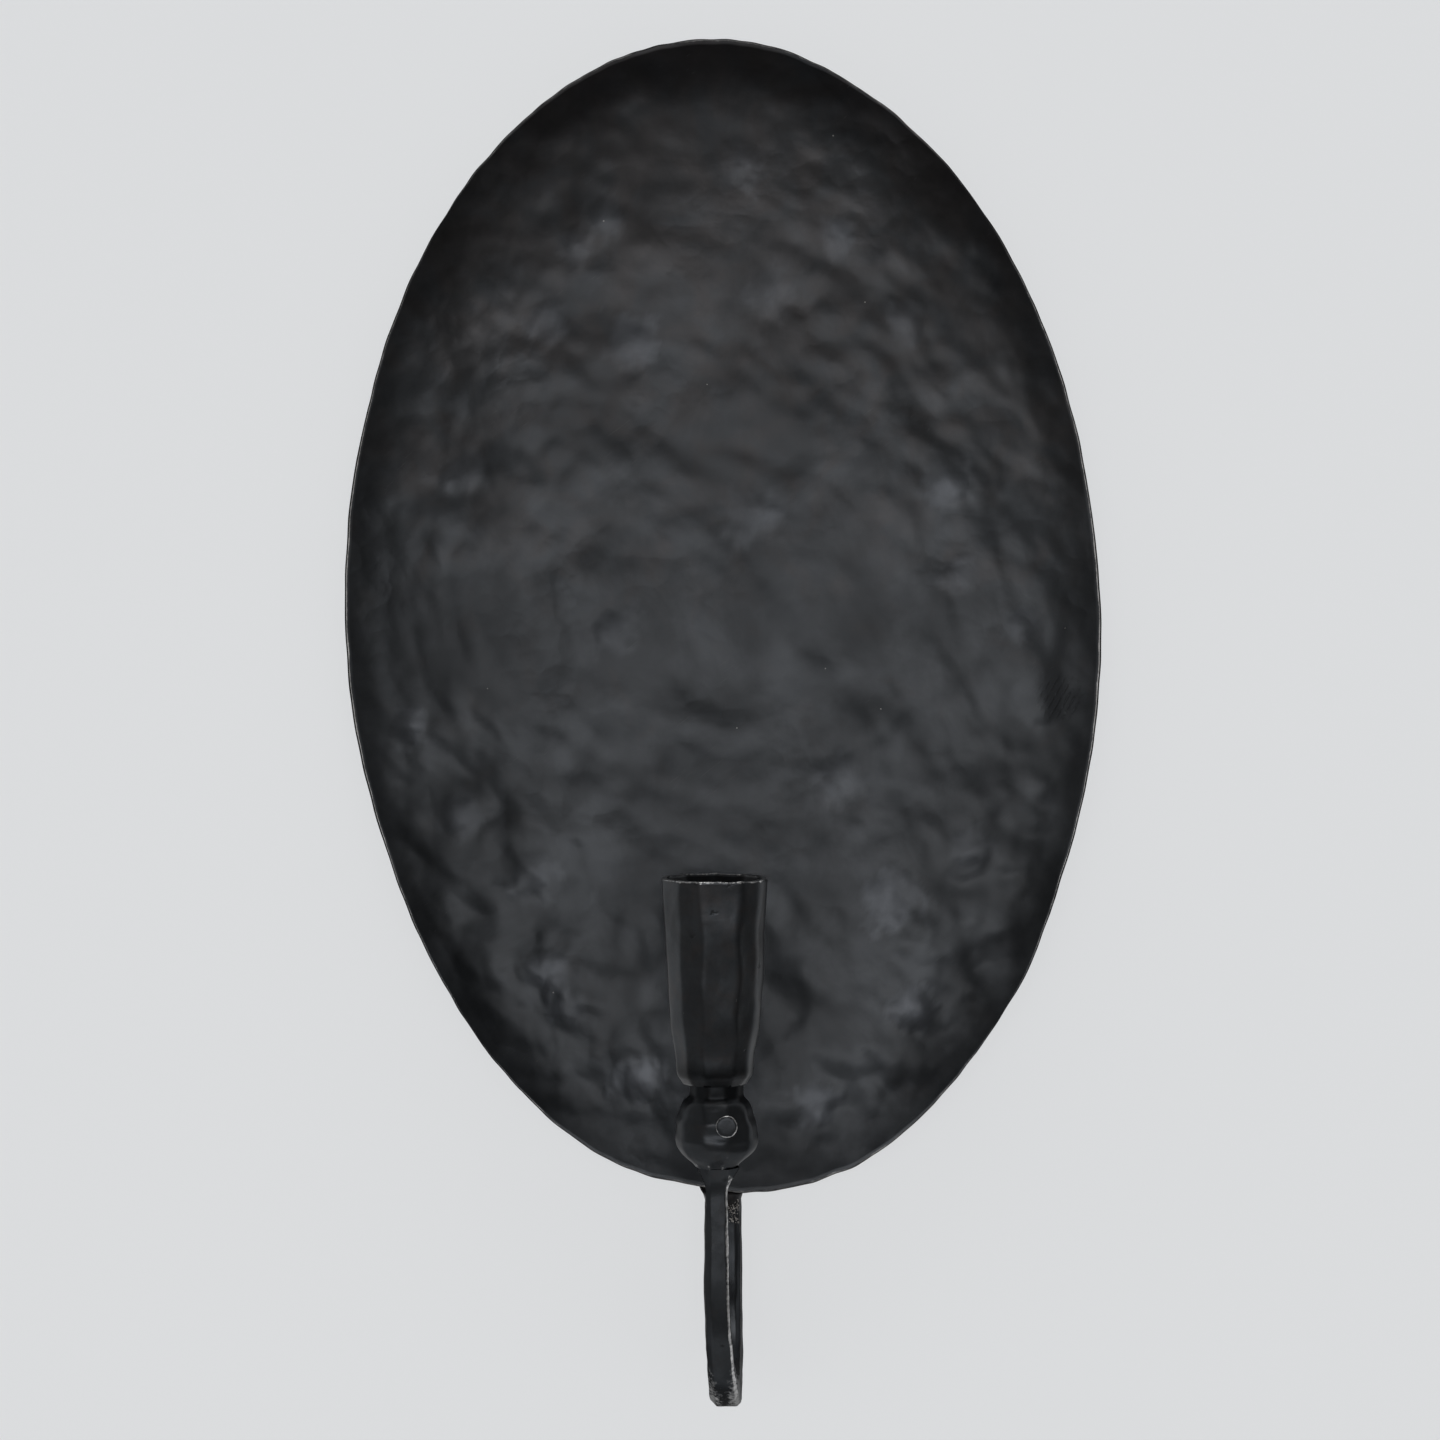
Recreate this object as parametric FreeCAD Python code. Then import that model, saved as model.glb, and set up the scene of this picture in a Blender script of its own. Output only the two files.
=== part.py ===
import FreeCAD, Part
import math
import os

# Forged wall candle holder. Lengths are millimetres: X to the right, Z up, Y into the wall.
# The wall is the plane Y = 0 and the origin is the round entry of the keyhole in the hanger.

# Back plate: an oval sheet hammered into a shallow dish, hollow side to the room
plate_width = 220.8
plate_height = 338.1
plate_sheet = 1.5
hanger_inset = 45.65
rim_stand = 20.0
dish_depth = 14.0
dish_power_share = 3.2
plate_lean_degrees = 2.17
# Flats and bulges that the hammer left round the rim: place and spread in turns from the right
# hand end, counter-clockwise seen from the room, and the push as a share of the local radius
rim_push_shares = (
    (0.02, 0.02, -0.003),
    (0.14, 0.04, -0.003),
    (0.18, 0.03, -0.005),
    (0.30, 0.03, -0.003),
    (0.36, 0.06, -0.006),
    (0.44, 0.035, -0.004),
    (0.56, 0.04, -0.008),
    (0.62, 0.05, -0.008),
    (0.725, 0.02, -0.008),
    (0.80, 0.015, 0.004),
    (0.86, 0.03, -0.007),
    (0.92, 0.02, -0.011),
    (0.955, 0.02, -0.005),
)

# Hanger: a strip bent into a bridge on the back of the plate, with a keyhole in its flat
hanger_thick = 2.0
hanger_leg_run = 7.0
hanger_foot = 9.0
keyhole_entry_radius = 4.5
keyhole_slot_width = 4.6
keyhole_slot_rise = 9.0
keyhole_margin = 5.7

# Arm: a forged bar with a flattened palm behind the plate, a leg, a bend and a tapered stem
palm_width = 24.0
palm_thick = 3.2
palm_length = 76.0
palm_tip_width = 11.0
leg_width = 10.2
leg_depth = 8.4
arm_reach = 70.0
arm_drop = 54.5
bend_side = 0.8
stem_foot_width = 7.0
stem_top_width = 5.2
stem_top_depth = 6.4
stem_rise = 35.3
flare_height = 7.0
flare_width = 12.8
tenon_radius = 3.2
forge_chamfer_share = 0.2

# Ball: forged bead with a neck, pinned to the arm's tenon
ball_width = 23.1
ball_height = 18.9
ball_side = -1.9
neck_width = 14.4
neck_height = 4.1
pin_radius = 2.8
pin_side = 2.2
pin_rise = 3.15
pin_proud = 0.4
tenon_over_pin = 0.6
ball_web = 0.8

# Cup: faceted and tapered, with a straight bore for a 22 mm candle
cup_wall = 3.4
cup_height = 56.3
cup_side = -2.4
cup_floor = 5.0
candle_radius = 11.0
candle_gap = 0.2
bore_lead = 4.0
bore_straight = 16.0
cup_mouth_lip = 1.3
cup_shoulder = 0.4

# Cup screw: pan head inside the cup, shank down through the neck into the ball
screw_radius = 2.5
screw_head_radius = 4.6
screw_head_height = 2.8
screw_slot_width = 1.1
screw_slot_depth = 1.3

# Wall bumpers: two soft buttons on the back of the plate, low down
bumper_spread = 70.0
bumper_below_centre = 78.6
bumper_radius = 5.5

# Weld beads
rim_bead_radius = 1.9
palm_bead_radius = 1.4
palm_bead_length = 22.0
hanger_bead_radius = 1.4
bead_inset = 1.2

# Clearances and overruns
slide_gap = 0.05
screw_gap = 0.25
seat_gap = 0.15
overrun = 2.0

# Corner places of the hammered facets, in turns round the cup and the ball
cup_corner_shares = (0.5, 0.611, 0.709, 0.822, 0.908, 0.982, 0.06, 0.14, 0.215, 0.324, 0.411)
ball_corner_shares = (0.0, 0.11, 0.20, 0.31, 0.40, 0.50, 0.60, 0.70, 0.79, 0.90)
# Height from the foot and width, as shares of the cup's or ball's own height and width
cup_foot_share = 0.77
cup_profile_shares = (
    (0.0, 0.60), (0.010, 0.63), (0.045, 0.73), (0.155, cup_foot_share), (0.28, 0.85),
    (0.5, 0.925), (0.94, 0.985), (1.0, 1.0),
)
ball_pin_share = 0.95
ball_profile_shares = (
    (0.0, 0.60), (0.06, 0.80), (0.17, 0.95), (0.40, 1.0), (0.70, 0.95), (0.88, 0.81), (1.0, 0.62),
)
# Palm, from its tip to the rim: height, width and thickness as shares between tip and leg
palm_station_shares = (
    (0.0, 0.0, 0.0), (0.06, 0.72, 0.0), (0.17, 1.0, 0.0), (0.34, 0.97, 0.02), (0.5, 0.86, 0.05),
    (0.66, 0.62, 0.16), (0.82, 0.32, 0.4), (1.0, 0.0, 0.9),
)
# Flare under the ball: height and widening as shares of its own
flare_shares = ((0.3, 0.20), (0.5, 0.42), (0.72, 0.68), (1.0, 1.0))
# Weld bead: place along it and thickness, as shares of its length and radius
bead_profile_shares = ((-0.08, 0.45), (0.04, 0.95), (0.4, 1.08), (0.75, 0.97), (0.96, 0.9), (1.08, 0.4))
bead_sides = 6
bend_steps = 12
dish_steps = 12
rim_steps = 48

plate_lean = math.radians(plate_lean_degrees)
plate_drop = plate_height / 2 - hanger_inset
hanger_width = 2 * (keyhole_entry_radius + keyhole_margin)
flat_low_z = -keyhole_entry_radius - keyhole_margin
flat_high_z = keyhole_slot_rise + keyhole_slot_width / 2 + keyhole_margin
foot_low_z = flat_low_z - hanger_leg_run - hanger_foot
foot_high_z = flat_high_z + hanger_leg_run + hanger_foot
rim_reach = math.hypot(plate_height * math.cos(plate_lean), plate_width * math.sin(plate_lean)) / 2
rim_low_z = -plate_drop - rim_reach
leg_y = -rim_stand + plate_sheet + leg_depth / 2
bend_radius = arm_reach / 2
bend_y = leg_y - bend_radius
stem_y = leg_y - arm_reach
bend_z = rim_low_z - arm_drop + bend_radius + leg_depth / 2
ball_z = bend_z + stem_rise
pin_z = ball_z + ball_height / 2 + pin_rise
tenon_top = pin_z + pin_radius + tenon_over_pin
neck_z = ball_z + ball_height
cup_z = neck_z + neck_height
cup_top = cup_z + cup_height
bore_radius = candle_radius + candle_gap
cup_width = 2 * (bore_radius + cup_wall)


def vec(x, y, z):
    return FreeCAD.Vector(x, y, z)


def largest(shape):
    return max(shape.Solids, key=lambda solid: solid.Volume)


def mix(low, high, share):
    return low + (high - low) * share


def flat_sided(rings):
    """Solid with flat sides between rings of points that are scaled and moved copies of each other."""
    faces = [Part.Face(Part.makePolygon(ring + ring[:1])) for ring in (rings[0], rings[-1])]
    for low, high in zip(rings, rings[1:]):
        for i in range(len(low)):
            corners = [low[i - 1], low[i], high[i], high[i - 1], low[i - 1]]
            faces.append(Part.Face(Part.makePolygon(corners)))
    shell = Part.makeShell(faces)
    shell.sewShape()
    solid = Part.makeSolid(shell)
    if solid.Volume < 0:
        solid.reverse()
    return solid


def dish_front(reach):
    """Y of the hollow face at a share of the way from the centre to the rim."""
    return -rim_stand + dish_depth * (1 - reach ** dish_power_share)


def plate_back(x, z):
    """Y of the plate's wall side at a place seen from the room."""
    up = z + plate_drop
    across = (x * math.cos(plate_lean) + up * math.sin(plate_lean)) * 2 / plate_width
    along = (up * math.cos(plate_lean) - x * math.sin(plate_lean)) * 2 / plate_height
    return dish_front(math.hypot(across, along)) + plate_sheet


def on_plate_back(z, off):
    """(y, z) of a point at a distance off the plate's wall side, square to it at height z."""
    step = plate_sheet / 10
    slope = (plate_back(0, z + step) - plate_back(0, z - step)) / (2 * step)
    away = (off + seat_gap) / math.hypot(1, slope)
    return plate_back(0, z) + away, z - away * slope


def rim_point(turn):
    """Point of the hammered rim outline, in the plane of the wall."""
    reach = 1.0
    for place, spread, push in rim_push_shares:
        away = abs((turn - place + 0.5) % 1 - 0.5)
        reach += push * math.exp(-(away / spread) ** 2)
    angle = 2 * math.pi * turn
    across = reach * plate_width / 2 * math.cos(angle)
    along = reach * plate_height / 2 * math.sin(angle)
    x = across * math.cos(plate_lean) - along * math.sin(plate_lean)
    z = across * math.sin(plate_lean) + along * math.cos(plate_lean)
    return vec(x, 0, z - plate_drop)


def dished_sheet():
    """Sheet that follows the dish, a little larger than the oval and leaned with it."""
    reach = 1.03
    rows = []
    for i in range(dish_steps + 1):
        across = reach * (2 * i / dish_steps - 1)
        row = []
        for j in range(dish_steps + 1):
            along = reach * (2 * j / dish_steps - 1)
            y = dish_front(math.hypot(across, along))
            row.append(vec(across * plate_width / 2, y, along * plate_height / 2))
        rows.append(row)
    hollow = Part.BSplineSurface()
    hollow.interpolate(rows)
    sheet = hollow.toShape().extrude(vec(0, plate_sheet, 0))
    sheet.rotate(vec(0, 0, 0), vec(0, 1, 0), -plate_lean_degrees)
    sheet.translate(vec(0, 0, -plate_drop))
    return sheet


def make_back_plate():
    outline = Part.BSplineCurve()
    outline.interpolate([rim_point(i / rim_steps) for i in range(rim_steps)], PeriodicFlag=True)
    blank = Part.Face(Part.Wire([outline.toShape()]))
    blank.translate(vec(0, -2 * rim_stand, 0))
    return largest(dished_sheet().common(blank.extrude(vec(0, 3 * rim_stand, 0))))


def thick_strip(points, thick):
    """Closed outline of a bent strip whose middle line runs through (y, z) points."""
    sides = ([], [])
    last = len(points) - 1
    for i, (y, z) in enumerate(points):
        before = points[max(i - 1, 0)]
        after = points[min(i + 1, last)]
        steps = [(y - before[0], z - before[1]), (after[0] - y, after[1] - z)]
        runs = [(dy / math.hypot(dy, dz), dz / math.hypot(dy, dz)) for dy, dz in steps if dy or dz]
        along = (sum(run[0] for run in runs), sum(run[1] for run in runs))
        size = math.hypot(*along)
        normal = (along[1] / size, -along[0] / size)
        half = thick / 2 / (size / len(runs))
        for side, sign in zip(sides, (1, -1)):
            side.append(vec(0, y + sign * half * normal[0], z + sign * half * normal[1]))
    ring = sides[0] + sides[1][::-1]
    return Part.Face(Part.makePolygon(ring + ring[:1]))


def make_hanger_bridge():
    half = hanger_thick / 2
    feet = [on_plate_back(z, half)
            for z in (foot_low_z, foot_low_z + hanger_foot, foot_high_z - hanger_foot, foot_high_z)]
    line = feet[:2] + [(-half, flat_low_z), (-half, flat_high_z)] + feet[2:]
    strip = thick_strip(line, hanger_thick).extrude(vec(hanger_width, 0, 0))
    strip.translate(vec(-hanger_width / 2, 0, 0))
    through = hanger_thick + 2 * overrun
    entry = Part.makeCylinder(keyhole_entry_radius, through, vec(0, overrun, 0), vec(0, -1, 0))
    slot = Part.makeBox(keyhole_slot_width, through, keyhole_slot_rise,
                        vec(-keyhole_slot_width / 2, overrun - through, 0))
    slot_end = Part.makeCylinder(keyhole_slot_width / 2, through, vec(0, overrun, keyhole_slot_rise),
                                 vec(0, -1, 0))
    return largest(strip.cut([entry, slot, slot_end]))


def bead(start, end, radius):
    """Weld bead: a six-sided bar from start to end that thins at both ends."""
    along = end - start
    side = along.cross(vec(0, 1, 0)).normalize()
    up = side.cross(along).normalize()
    rings = []
    for run, girth in bead_profile_shares:
        middle = start + along * run
        ring = []
        for i in range(bead_sides):
            angle = 2 * math.pi * (i + 0.5) / bead_sides
            ring.append(middle + (side * math.cos(angle) + up * math.sin(angle)) * (girth * radius))
        rings.append(ring)
    return flat_sided(rings)


def seated(beads, carriers):
    """Beads with the metal that they lie against taken away, as one group of solids."""
    group = []
    for blank in beads:
        for carrier in carriers:
            blank = blank.cut(carrier)
        group.append(largest(blank))
    return Part.makeCompound(group)


def make_hanger_welds(plate, hanger):
    half = hanger_width / 2 - hanger_bead_radius - bead_inset
    beads = []
    for z in (foot_low_z, foot_high_z):
        y = plate_back(0, z) + seat_gap
        beads.append(bead(vec(-half, y, z), vec(half, y, z), hanger_bead_radius))
    return seated(beads, (plate, hanger))


def palm_place(share):
    """Height of a place on the palm, from the tip at 0 down to the rim at 1."""
    return rim_low_z + palm_length * (1 - share)


def palm_stations():
    """Middle, width and depth of the flattened stretch that lies on the plate's back."""
    stations = []
    for down, spread, thicken in palm_station_shares:
        z = palm_place(down)
        edge_width = palm_tip_width if down < 0.5 else leg_width
        width = mix(edge_width, palm_width, spread)
        depth = mix(palm_thick, leg_depth, thicken)
        y, z = on_plate_back(z, depth / 2)
        stations.append((0, y, z, width, depth))
    return stations


def bend_stations():
    """Leg, bend and stem: the bar narrows from the wide leg to the slim stem."""
    stations = [(0, leg_y, mix(rim_low_z, bend_z, 0.35), leg_width, leg_depth)]
    for i in range(bend_steps + 1):
        share = i / bend_steps
        angle = math.pi * share
        x = bend_side * math.sin(angle) + mix(0, ball_side / 2, max(0, share - 0.5) * 2)
        y = bend_y + bend_radius * math.cos(angle)
        z = bend_z - bend_radius * math.sin(angle)
        width = mix(leg_width, stem_foot_width, share)
        stations.append((x, y, z, width, mix(leg_depth, stem_top_depth, share ** 3 / 2)))
    for share in (0.4, 0.75, 1.0):
        z = mix(bend_z, ball_z - flare_height, share)
        x = mix(ball_side / 2, ball_side, share)
        depth = mix(mix(leg_depth, stem_top_depth, 0.5), stem_top_depth, share)
        stations.append((x, stem_y, z, mix(stem_foot_width, stem_top_width, share), depth))
    for share, swell in flare_shares:
        z = mix(ball_z - flare_height, ball_z, share)
        width = mix(stem_top_width, flare_width, swell)
        stations.append((ball_side, stem_y, z, width, mix(stem_top_depth, flare_width, swell)))
    return stations


def forged_ring(station, along):
    """Eight-sided section of the bar, square to its run."""
    x, y, z, width, depth = station
    across = vec(1, 0, 0)
    out = along.cross(across)
    chamfer = forge_chamfer_share * min(width, depth)
    wide, deep = width / 2, depth / 2
    corners = [(wide - chamfer, deep), (wide, deep - chamfer)]
    corners += [(a, -b) for a, b in corners[::-1]]
    corners += [(-a, b) for a, b in corners[::-1]]
    ring = [vec(x, y, z) + across * a + out * b for a, b in corners]
    return Part.makePolygon(ring + ring[:1])


def make_arm():
    stations = palm_stations() + bend_stations()
    middles = [vec(*station[:3]) for station in stations]
    rings = []
    last = len(stations) - 1
    for i, station in enumerate(stations):
        along = middles[min(i + 1, last)] - middles[max(i - 1, 0)]
        along.x = 0
        if i > last - 3:
            along = vec(0, 0, 1)
        rings.append(forged_ring(station, along.normalize()))
    bar = Part.makeLoft(rings, True, True)
    tenon = Part.makeCylinder(tenon_radius, tenon_top - ball_z + flare_height / 2,
                              vec(ball_side, stem_y, ball_z - flare_height / 2))
    return largest(bar.fuse(tenon).cut(pin_bar(pin_radius + slide_gap, overrun)))


def make_rim_weld(plate, arm):
    half = leg_width / 2 - bead_inset / 2
    y = -rim_stand + plate_sheet
    blank = bead(vec(-half, y, rim_low_z), vec(half, y, rim_low_z), rim_bead_radius)
    return seated([blank], (plate, arm))


def make_palm_welds(plate, arm):
    """A bead down each side of the palm and one across its tip."""
    beads = []
    top = palm_place(0.2)
    for side in (-1, 1):
        x = side * palm_width / 2
        ends = [vec(x, plate_back(x, z), z) for z in (top, top - palm_bead_length)]
        ends[1].x = side * mix(palm_width, leg_width, 0.12) / 2
        beads.append(bead(ends[0], ends[1], palm_bead_radius))
    tip = palm_place(0)
    half = palm_tip_width / 2 - palm_bead_radius / 2
    y = plate_back(0, tip)
    beads.append(bead(vec(-half, y, tip), vec(half, y, tip), palm_bead_radius))
    return seated(beads, (plate, arm))


def faceted(profile, corners, width, height, foot):
    """Solid with flat-sided rings, their corners at the given turns, stacked from a foot point."""
    rings = []
    for rise, spread in profile:
        radius = spread * width / 2
        ring = []
        for turn in sorted(corners):
            angle = 2 * math.pi * turn
            ring.append(foot + vec(radius * math.cos(angle), radius * math.sin(angle), rise * height))
        rings.append(ring)
    return flat_sided(rings)


def pin_bar(radius, extra):
    """Bar along the cross pin, longer than the ball's depth by extra at each end."""
    half = pin_half_length() + extra
    return Part.makeCylinder(radius, 2 * half, vec(ball_side + pin_side, stem_y - half, pin_z), vec(0, 1, 0))


def pin_half_length():
    """Half of the ball's depth at the pin, plus what stands proud at each end."""
    radius = ball_pin_share * ball_width / 2
    return math.sqrt(radius ** 2 - pin_side ** 2) + pin_proud


def make_ball():
    """Bead and its neck in one piece, bored for the tenon, the cross pin and the cup's screw."""
    foot = vec(ball_side, stem_y, ball_z)
    top_share = (ball_height + neck_height) / ball_height
    neck_share = neck_width / ball_width
    profile = ball_profile_shares + ((mix(1, top_share, 0.15), neck_share), (top_share, neck_share))
    ball = faceted(profile, ball_corner_shares, ball_width, ball_height, foot)
    hole_low = tenon_top + slide_gap + ball_web
    tenon_hole = tenon_top + slide_gap - ball_z
    screw_hole = cup_z - hole_low + overrun
    cuts = [
        Part.makeCylinder(tenon_radius + slide_gap, tenon_hole + overrun, foot - vec(0, 0, overrun)),
        Part.makeCylinder(screw_radius + slide_gap, screw_hole, foot + vec(0, 0, hole_low - ball_z)),
        pin_bar(pin_radius + slide_gap, overrun),
    ]
    return largest(ball.cut(cuts))


def make_ball_pin():
    """Cross pin with the corners of its ends hammered over."""
    pin = pin_bar(pin_radius, 0)
    ends = [edge for edge in pin.Edges if len(edge.Vertexes) == 1]
    return pin.makeChamfer(pin_proud, ends)


def well(low, high, low_radius, high_radius):
    """Faceted hollow in line with the cup's own facets, between two heights."""
    profile = ((0, low_radius / high_radius), (1, 1))
    return faceted(profile, cup_corner_shares, 2 * high_radius, high - low, vec(cup_side, stem_y, low))


def make_candle_cup():
    """Forged cup: faceted outside, flared mouth, straight round bore, and a well that tapers below it."""
    cup = faceted(cup_profile_shares, cup_corner_shares, cup_width, cup_height, vec(cup_side, stem_y, cup_z))
    lead = cup_top - bore_lead
    shoulder = lead - bore_straight
    mouth = cup_width / 2 - cup_mouth_lip
    mouth_slope = (mouth - bore_radius) / bore_lead
    well_foot = cup_width / 2 * cup_foot_share - cup_wall
    well_top = bore_radius - cup_shoulder
    cuts = [
        Part.makeCone(bore_radius, mouth + mouth_slope * overrun, bore_lead + overrun,
                      vec(cup_side, stem_y, lead)),
        Part.makeCylinder(bore_radius, bore_straight, vec(cup_side, stem_y, shoulder)),
        well(cup_z + cup_floor, shoulder, well_foot, well_top),
        well(shoulder - seat_gap, shoulder + seat_gap, well_top, well_top),
        Part.makeCylinder(screw_radius + screw_gap, cup_floor + 2 * overrun,
                          vec(ball_side, stem_y, cup_z - overrun)),
    ]
    return largest(cup.cut(cuts))


def make_cup_screw():
    seat = cup_z + cup_floor
    tip = tenon_top + slide_gap + ball_web + slide_gap
    head = Part.makeCylinder(screw_head_radius, screw_head_height, vec(ball_side, stem_y, seat))
    top_edge = [edge for edge in head.Edges if edge.BoundBox.ZMin > seat + screw_head_height / 2]
    head = head.makeChamfer(screw_head_height / 3, top_edge)
    slot = Part.makeBox(2 * screw_head_radius + overrun, screw_slot_width, screw_slot_depth + overrun)
    slot.translate(vec(ball_side - screw_head_radius - overrun / 2, stem_y - screw_slot_width / 2,
                       seat + screw_head_height - screw_slot_depth))
    shank = Part.makeCylinder(screw_radius, seat - tip, vec(ball_side, stem_y, tip))
    return largest(head.cut(slot).fuse(shank))


def make_wall_bumpers(plate):
    z = -plate_drop - bumper_below_centre
    group = []
    for side in (-1, 1):
        x = side * bumper_spread / 2
        height = plate_sheet / 2 - plate_back(x, z)
        group.append(Part.makeCylinder(bumper_radius, height, vec(x, 0, z), vec(0, -1, 0)))
    return seated(group, (plate,))


def make_part():
    plate = make_back_plate()
    hanger = make_hanger_bridge()
    arm = make_arm()
    return {
        "back_plate": plate,
        "hanger_bridge": hanger,
        "hanger_welds": make_hanger_welds(plate, hanger),
        "wall_bumpers": make_wall_bumpers(plate),
        "arm": arm,
        "rim_weld": make_rim_weld(plate, arm),
        "palm_welds": make_palm_welds(plate, arm),
        "ball": make_ball(),
        "ball_pin": make_ball_pin(),
        "candle_cup": make_candle_cup(),
        "cup_screw": make_cup_screw(),
    }


os.makedirs("parts", exist_ok=True)
for node, shape in make_part().items():
    box = shape.BoundBox
    print(node, len(shape.Solids), shape.isValid(), round(shape.Volume), [round(v, 1) for v in
          (box.XMin, box.XMax, box.YMin, box.YMax, box.ZMin, box.ZMax)])
    shape.exportStep("parts/" + node + ".step")
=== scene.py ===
import bmesh
import bpy
import math
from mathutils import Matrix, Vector, noise


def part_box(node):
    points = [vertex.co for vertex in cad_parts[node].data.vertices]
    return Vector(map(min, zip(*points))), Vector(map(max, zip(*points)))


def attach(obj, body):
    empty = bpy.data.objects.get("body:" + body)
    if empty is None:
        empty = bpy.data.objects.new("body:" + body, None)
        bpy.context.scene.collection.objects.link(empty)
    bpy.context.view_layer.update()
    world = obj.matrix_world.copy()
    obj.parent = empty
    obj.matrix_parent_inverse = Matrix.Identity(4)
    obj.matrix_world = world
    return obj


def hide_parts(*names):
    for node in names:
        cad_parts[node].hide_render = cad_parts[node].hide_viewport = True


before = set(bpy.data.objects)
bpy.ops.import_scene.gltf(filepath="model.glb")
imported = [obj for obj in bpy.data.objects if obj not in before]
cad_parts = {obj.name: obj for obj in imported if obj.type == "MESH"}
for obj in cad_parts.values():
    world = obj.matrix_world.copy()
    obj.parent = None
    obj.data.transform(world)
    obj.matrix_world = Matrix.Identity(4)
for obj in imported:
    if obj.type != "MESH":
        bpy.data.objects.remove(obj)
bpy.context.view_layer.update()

# A forged wall candle holder: a hammered oval plate, a bar bent into a deep U, a pinned ball and a
# faceted cup. Lengths are metres: X to the right, Z up, Y into the wall, the wall at Y = 0.
mm = 0.001
body = "root"

plate_low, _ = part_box("back_plate")
arm_low, arm_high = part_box("arm")
ball_low, ball_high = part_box("ball")
pin_low, pin_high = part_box("ball_pin")
cup_low, cup_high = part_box("candle_cup")
bumper_low, bumper_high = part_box("wall_bumpers")
hanger_low, hanger_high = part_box("hanger_bridge")

# Back plate
plate_half_width = 110.4 * mm
plate_half_height = 169.05 * mm
plate_middle_z = -123.4 * mm
plate_lean = math.radians(2.17)
plate_sheet = 1.5 * mm
rim_stand = 20.0 * mm
dish_depth = 14.0 * mm
dish_power_share = 3.2
rim_push_shares = (
    (0.02, 0.02, -0.003), (0.14, 0.04, -0.003), (0.18, 0.03, -0.005), (0.30, 0.03, -0.003),
    (0.36, 0.06, -0.006), (0.44, 0.035, -0.004), (0.56, 0.04, -0.008), (0.62, 0.05, -0.008),
    (0.725, 0.02, -0.008), (0.80, 0.015, 0.004), (0.86, 0.03, -0.007), (0.92, 0.02, -0.011),
    (0.955, 0.02, -0.005),
)
rim_ripple = 0.28 * mm
rim_ripple_run = 9.0 * mm
rim_round = 0.5 * mm
plate_grid = 212
# The heaviest single blows on the plate, in mm: x, z, radius and depth, and how strong a painted highlight
# each carries
heavy_blows = (
    (-27, -41, 9, 0.5, 1.0), (-52, -36, 7, 0.4, 0.6), (-35, -5, 6, 0.4, 0.6), (-44, -13, 6, 0.4, 0.6),
    (5, 11, 8, 0.4, 0.5), (33, -11, 6, 0.4, 0.6), (54, -35, 7, 0.5, 0.9), (14, -27, 8, 0.4, 0.5),
    (-75, -80, 7, 0.5, 0.7), (67, -83, 8, 0.5, 0.6), (10, -92, 10, 0.5, 0.6), (70, -110, 7, 0.5, 0.6),
    (88, -125, 6, 0.5, 0.6), (-92, -154, 6, 0.5, 0.7), (-33, -127, 9, 0.5, 0.5),
    (-79, -181, 8, 0.6, 0.7), (-52, -229, 8, 0.6, 0.7), (-47, -239, 6, 0.5, 0.6),
    (-25, -259, 8, 0.6, 0.9), (50, -206, 9, 0.6, 1.0), (56, -238, 8, 0.7, 1.0), (28, -266, 7, 0.6, 1.0),
    (73, -192, 7, 0.5, 0.6), (35, -170, 9, 0.5, 0.4), (-57, -200, 9, 0.5, 0.5),
)
# Waves per metre in the ragged edge of those blows
blow_edge_coarse = 140
blow_edge_fine = 420
# How far round the hanger and the palm, and round each rubber foot, the sheet keeps still
weld_calm_reach = 17.0 * mm
foot_calm_reach = 10.0 * mm
tool_mark_place = (98.7 * mm, 0, -146.3 * mm)

# Arm
palm_width = 24.0 * mm
palm_thick = 3.2 * mm
palm_length = 76.0 * mm
palm_tip_width = 11.0 * mm
leg_width = 10.2 * mm
leg_depth = 8.4 * mm
stem_top_width = 5.3 * mm
stem_top_depth = 6.4 * mm
flare_height = 7.0 * mm
flare_width = 10.9 * mm
tenon_radius = 3.2 * mm
# Chamfers on the arm's four arrises, from the wall side of the leg round to its right: the one that
# runs down the front right of the stem is the crisp one
arris_chamfer_shares = (0.20, 0.22, 0.20, 0.07)
# That arris is the last of the eight flats; the two side faces, the first and the fifth, lean by
# some degrees
crisp_arris = 7
side_face_turns = {0: 8, 4: -8}

# Ball, pin and cup
ball_width = 23.1 * mm
ball_height = 18.9 * mm
neck_width = 14.4 * mm
pin_radius = 2.8 * mm
pin_lean = 0.6 * mm
cup_width = 29.2 * mm
cup_floor = 5.0 * mm
cup_wall = 3.4 * mm
bore_radius = 11.2 * mm
bore_lead = 4.0 * mm
bore_straight = 16.0 * mm
cup_mouth_lip = 1.3 * mm
cup_flare = 0.35 * mm
lip_round = 0.40 * mm
lip_wave = 0.45 * mm
lip_rub = 0.64
well_ledge = 0.3 * mm
seat_gap = 0.15 * mm
bumper_radius = 5.5 * mm
bead_radius = 1.3 * mm
bead_off = 0.55 * mm
palm_bead_length = 22.0 * mm

# Down the palm: share of its length, of its widest spread, and of the leg's thickness
palm_station_shares = (
    (0.0, 0.0, 0.0), (0.06, 0.72, 0.0), (0.17, 1.0, 0.0), (0.34, 0.97, 0.02), (0.5, 0.86, 0.05),
    (0.66, 0.62, 0.16), (0.82, 0.32, 0.4), (1.0, 0.0, 0.9),
)
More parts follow.
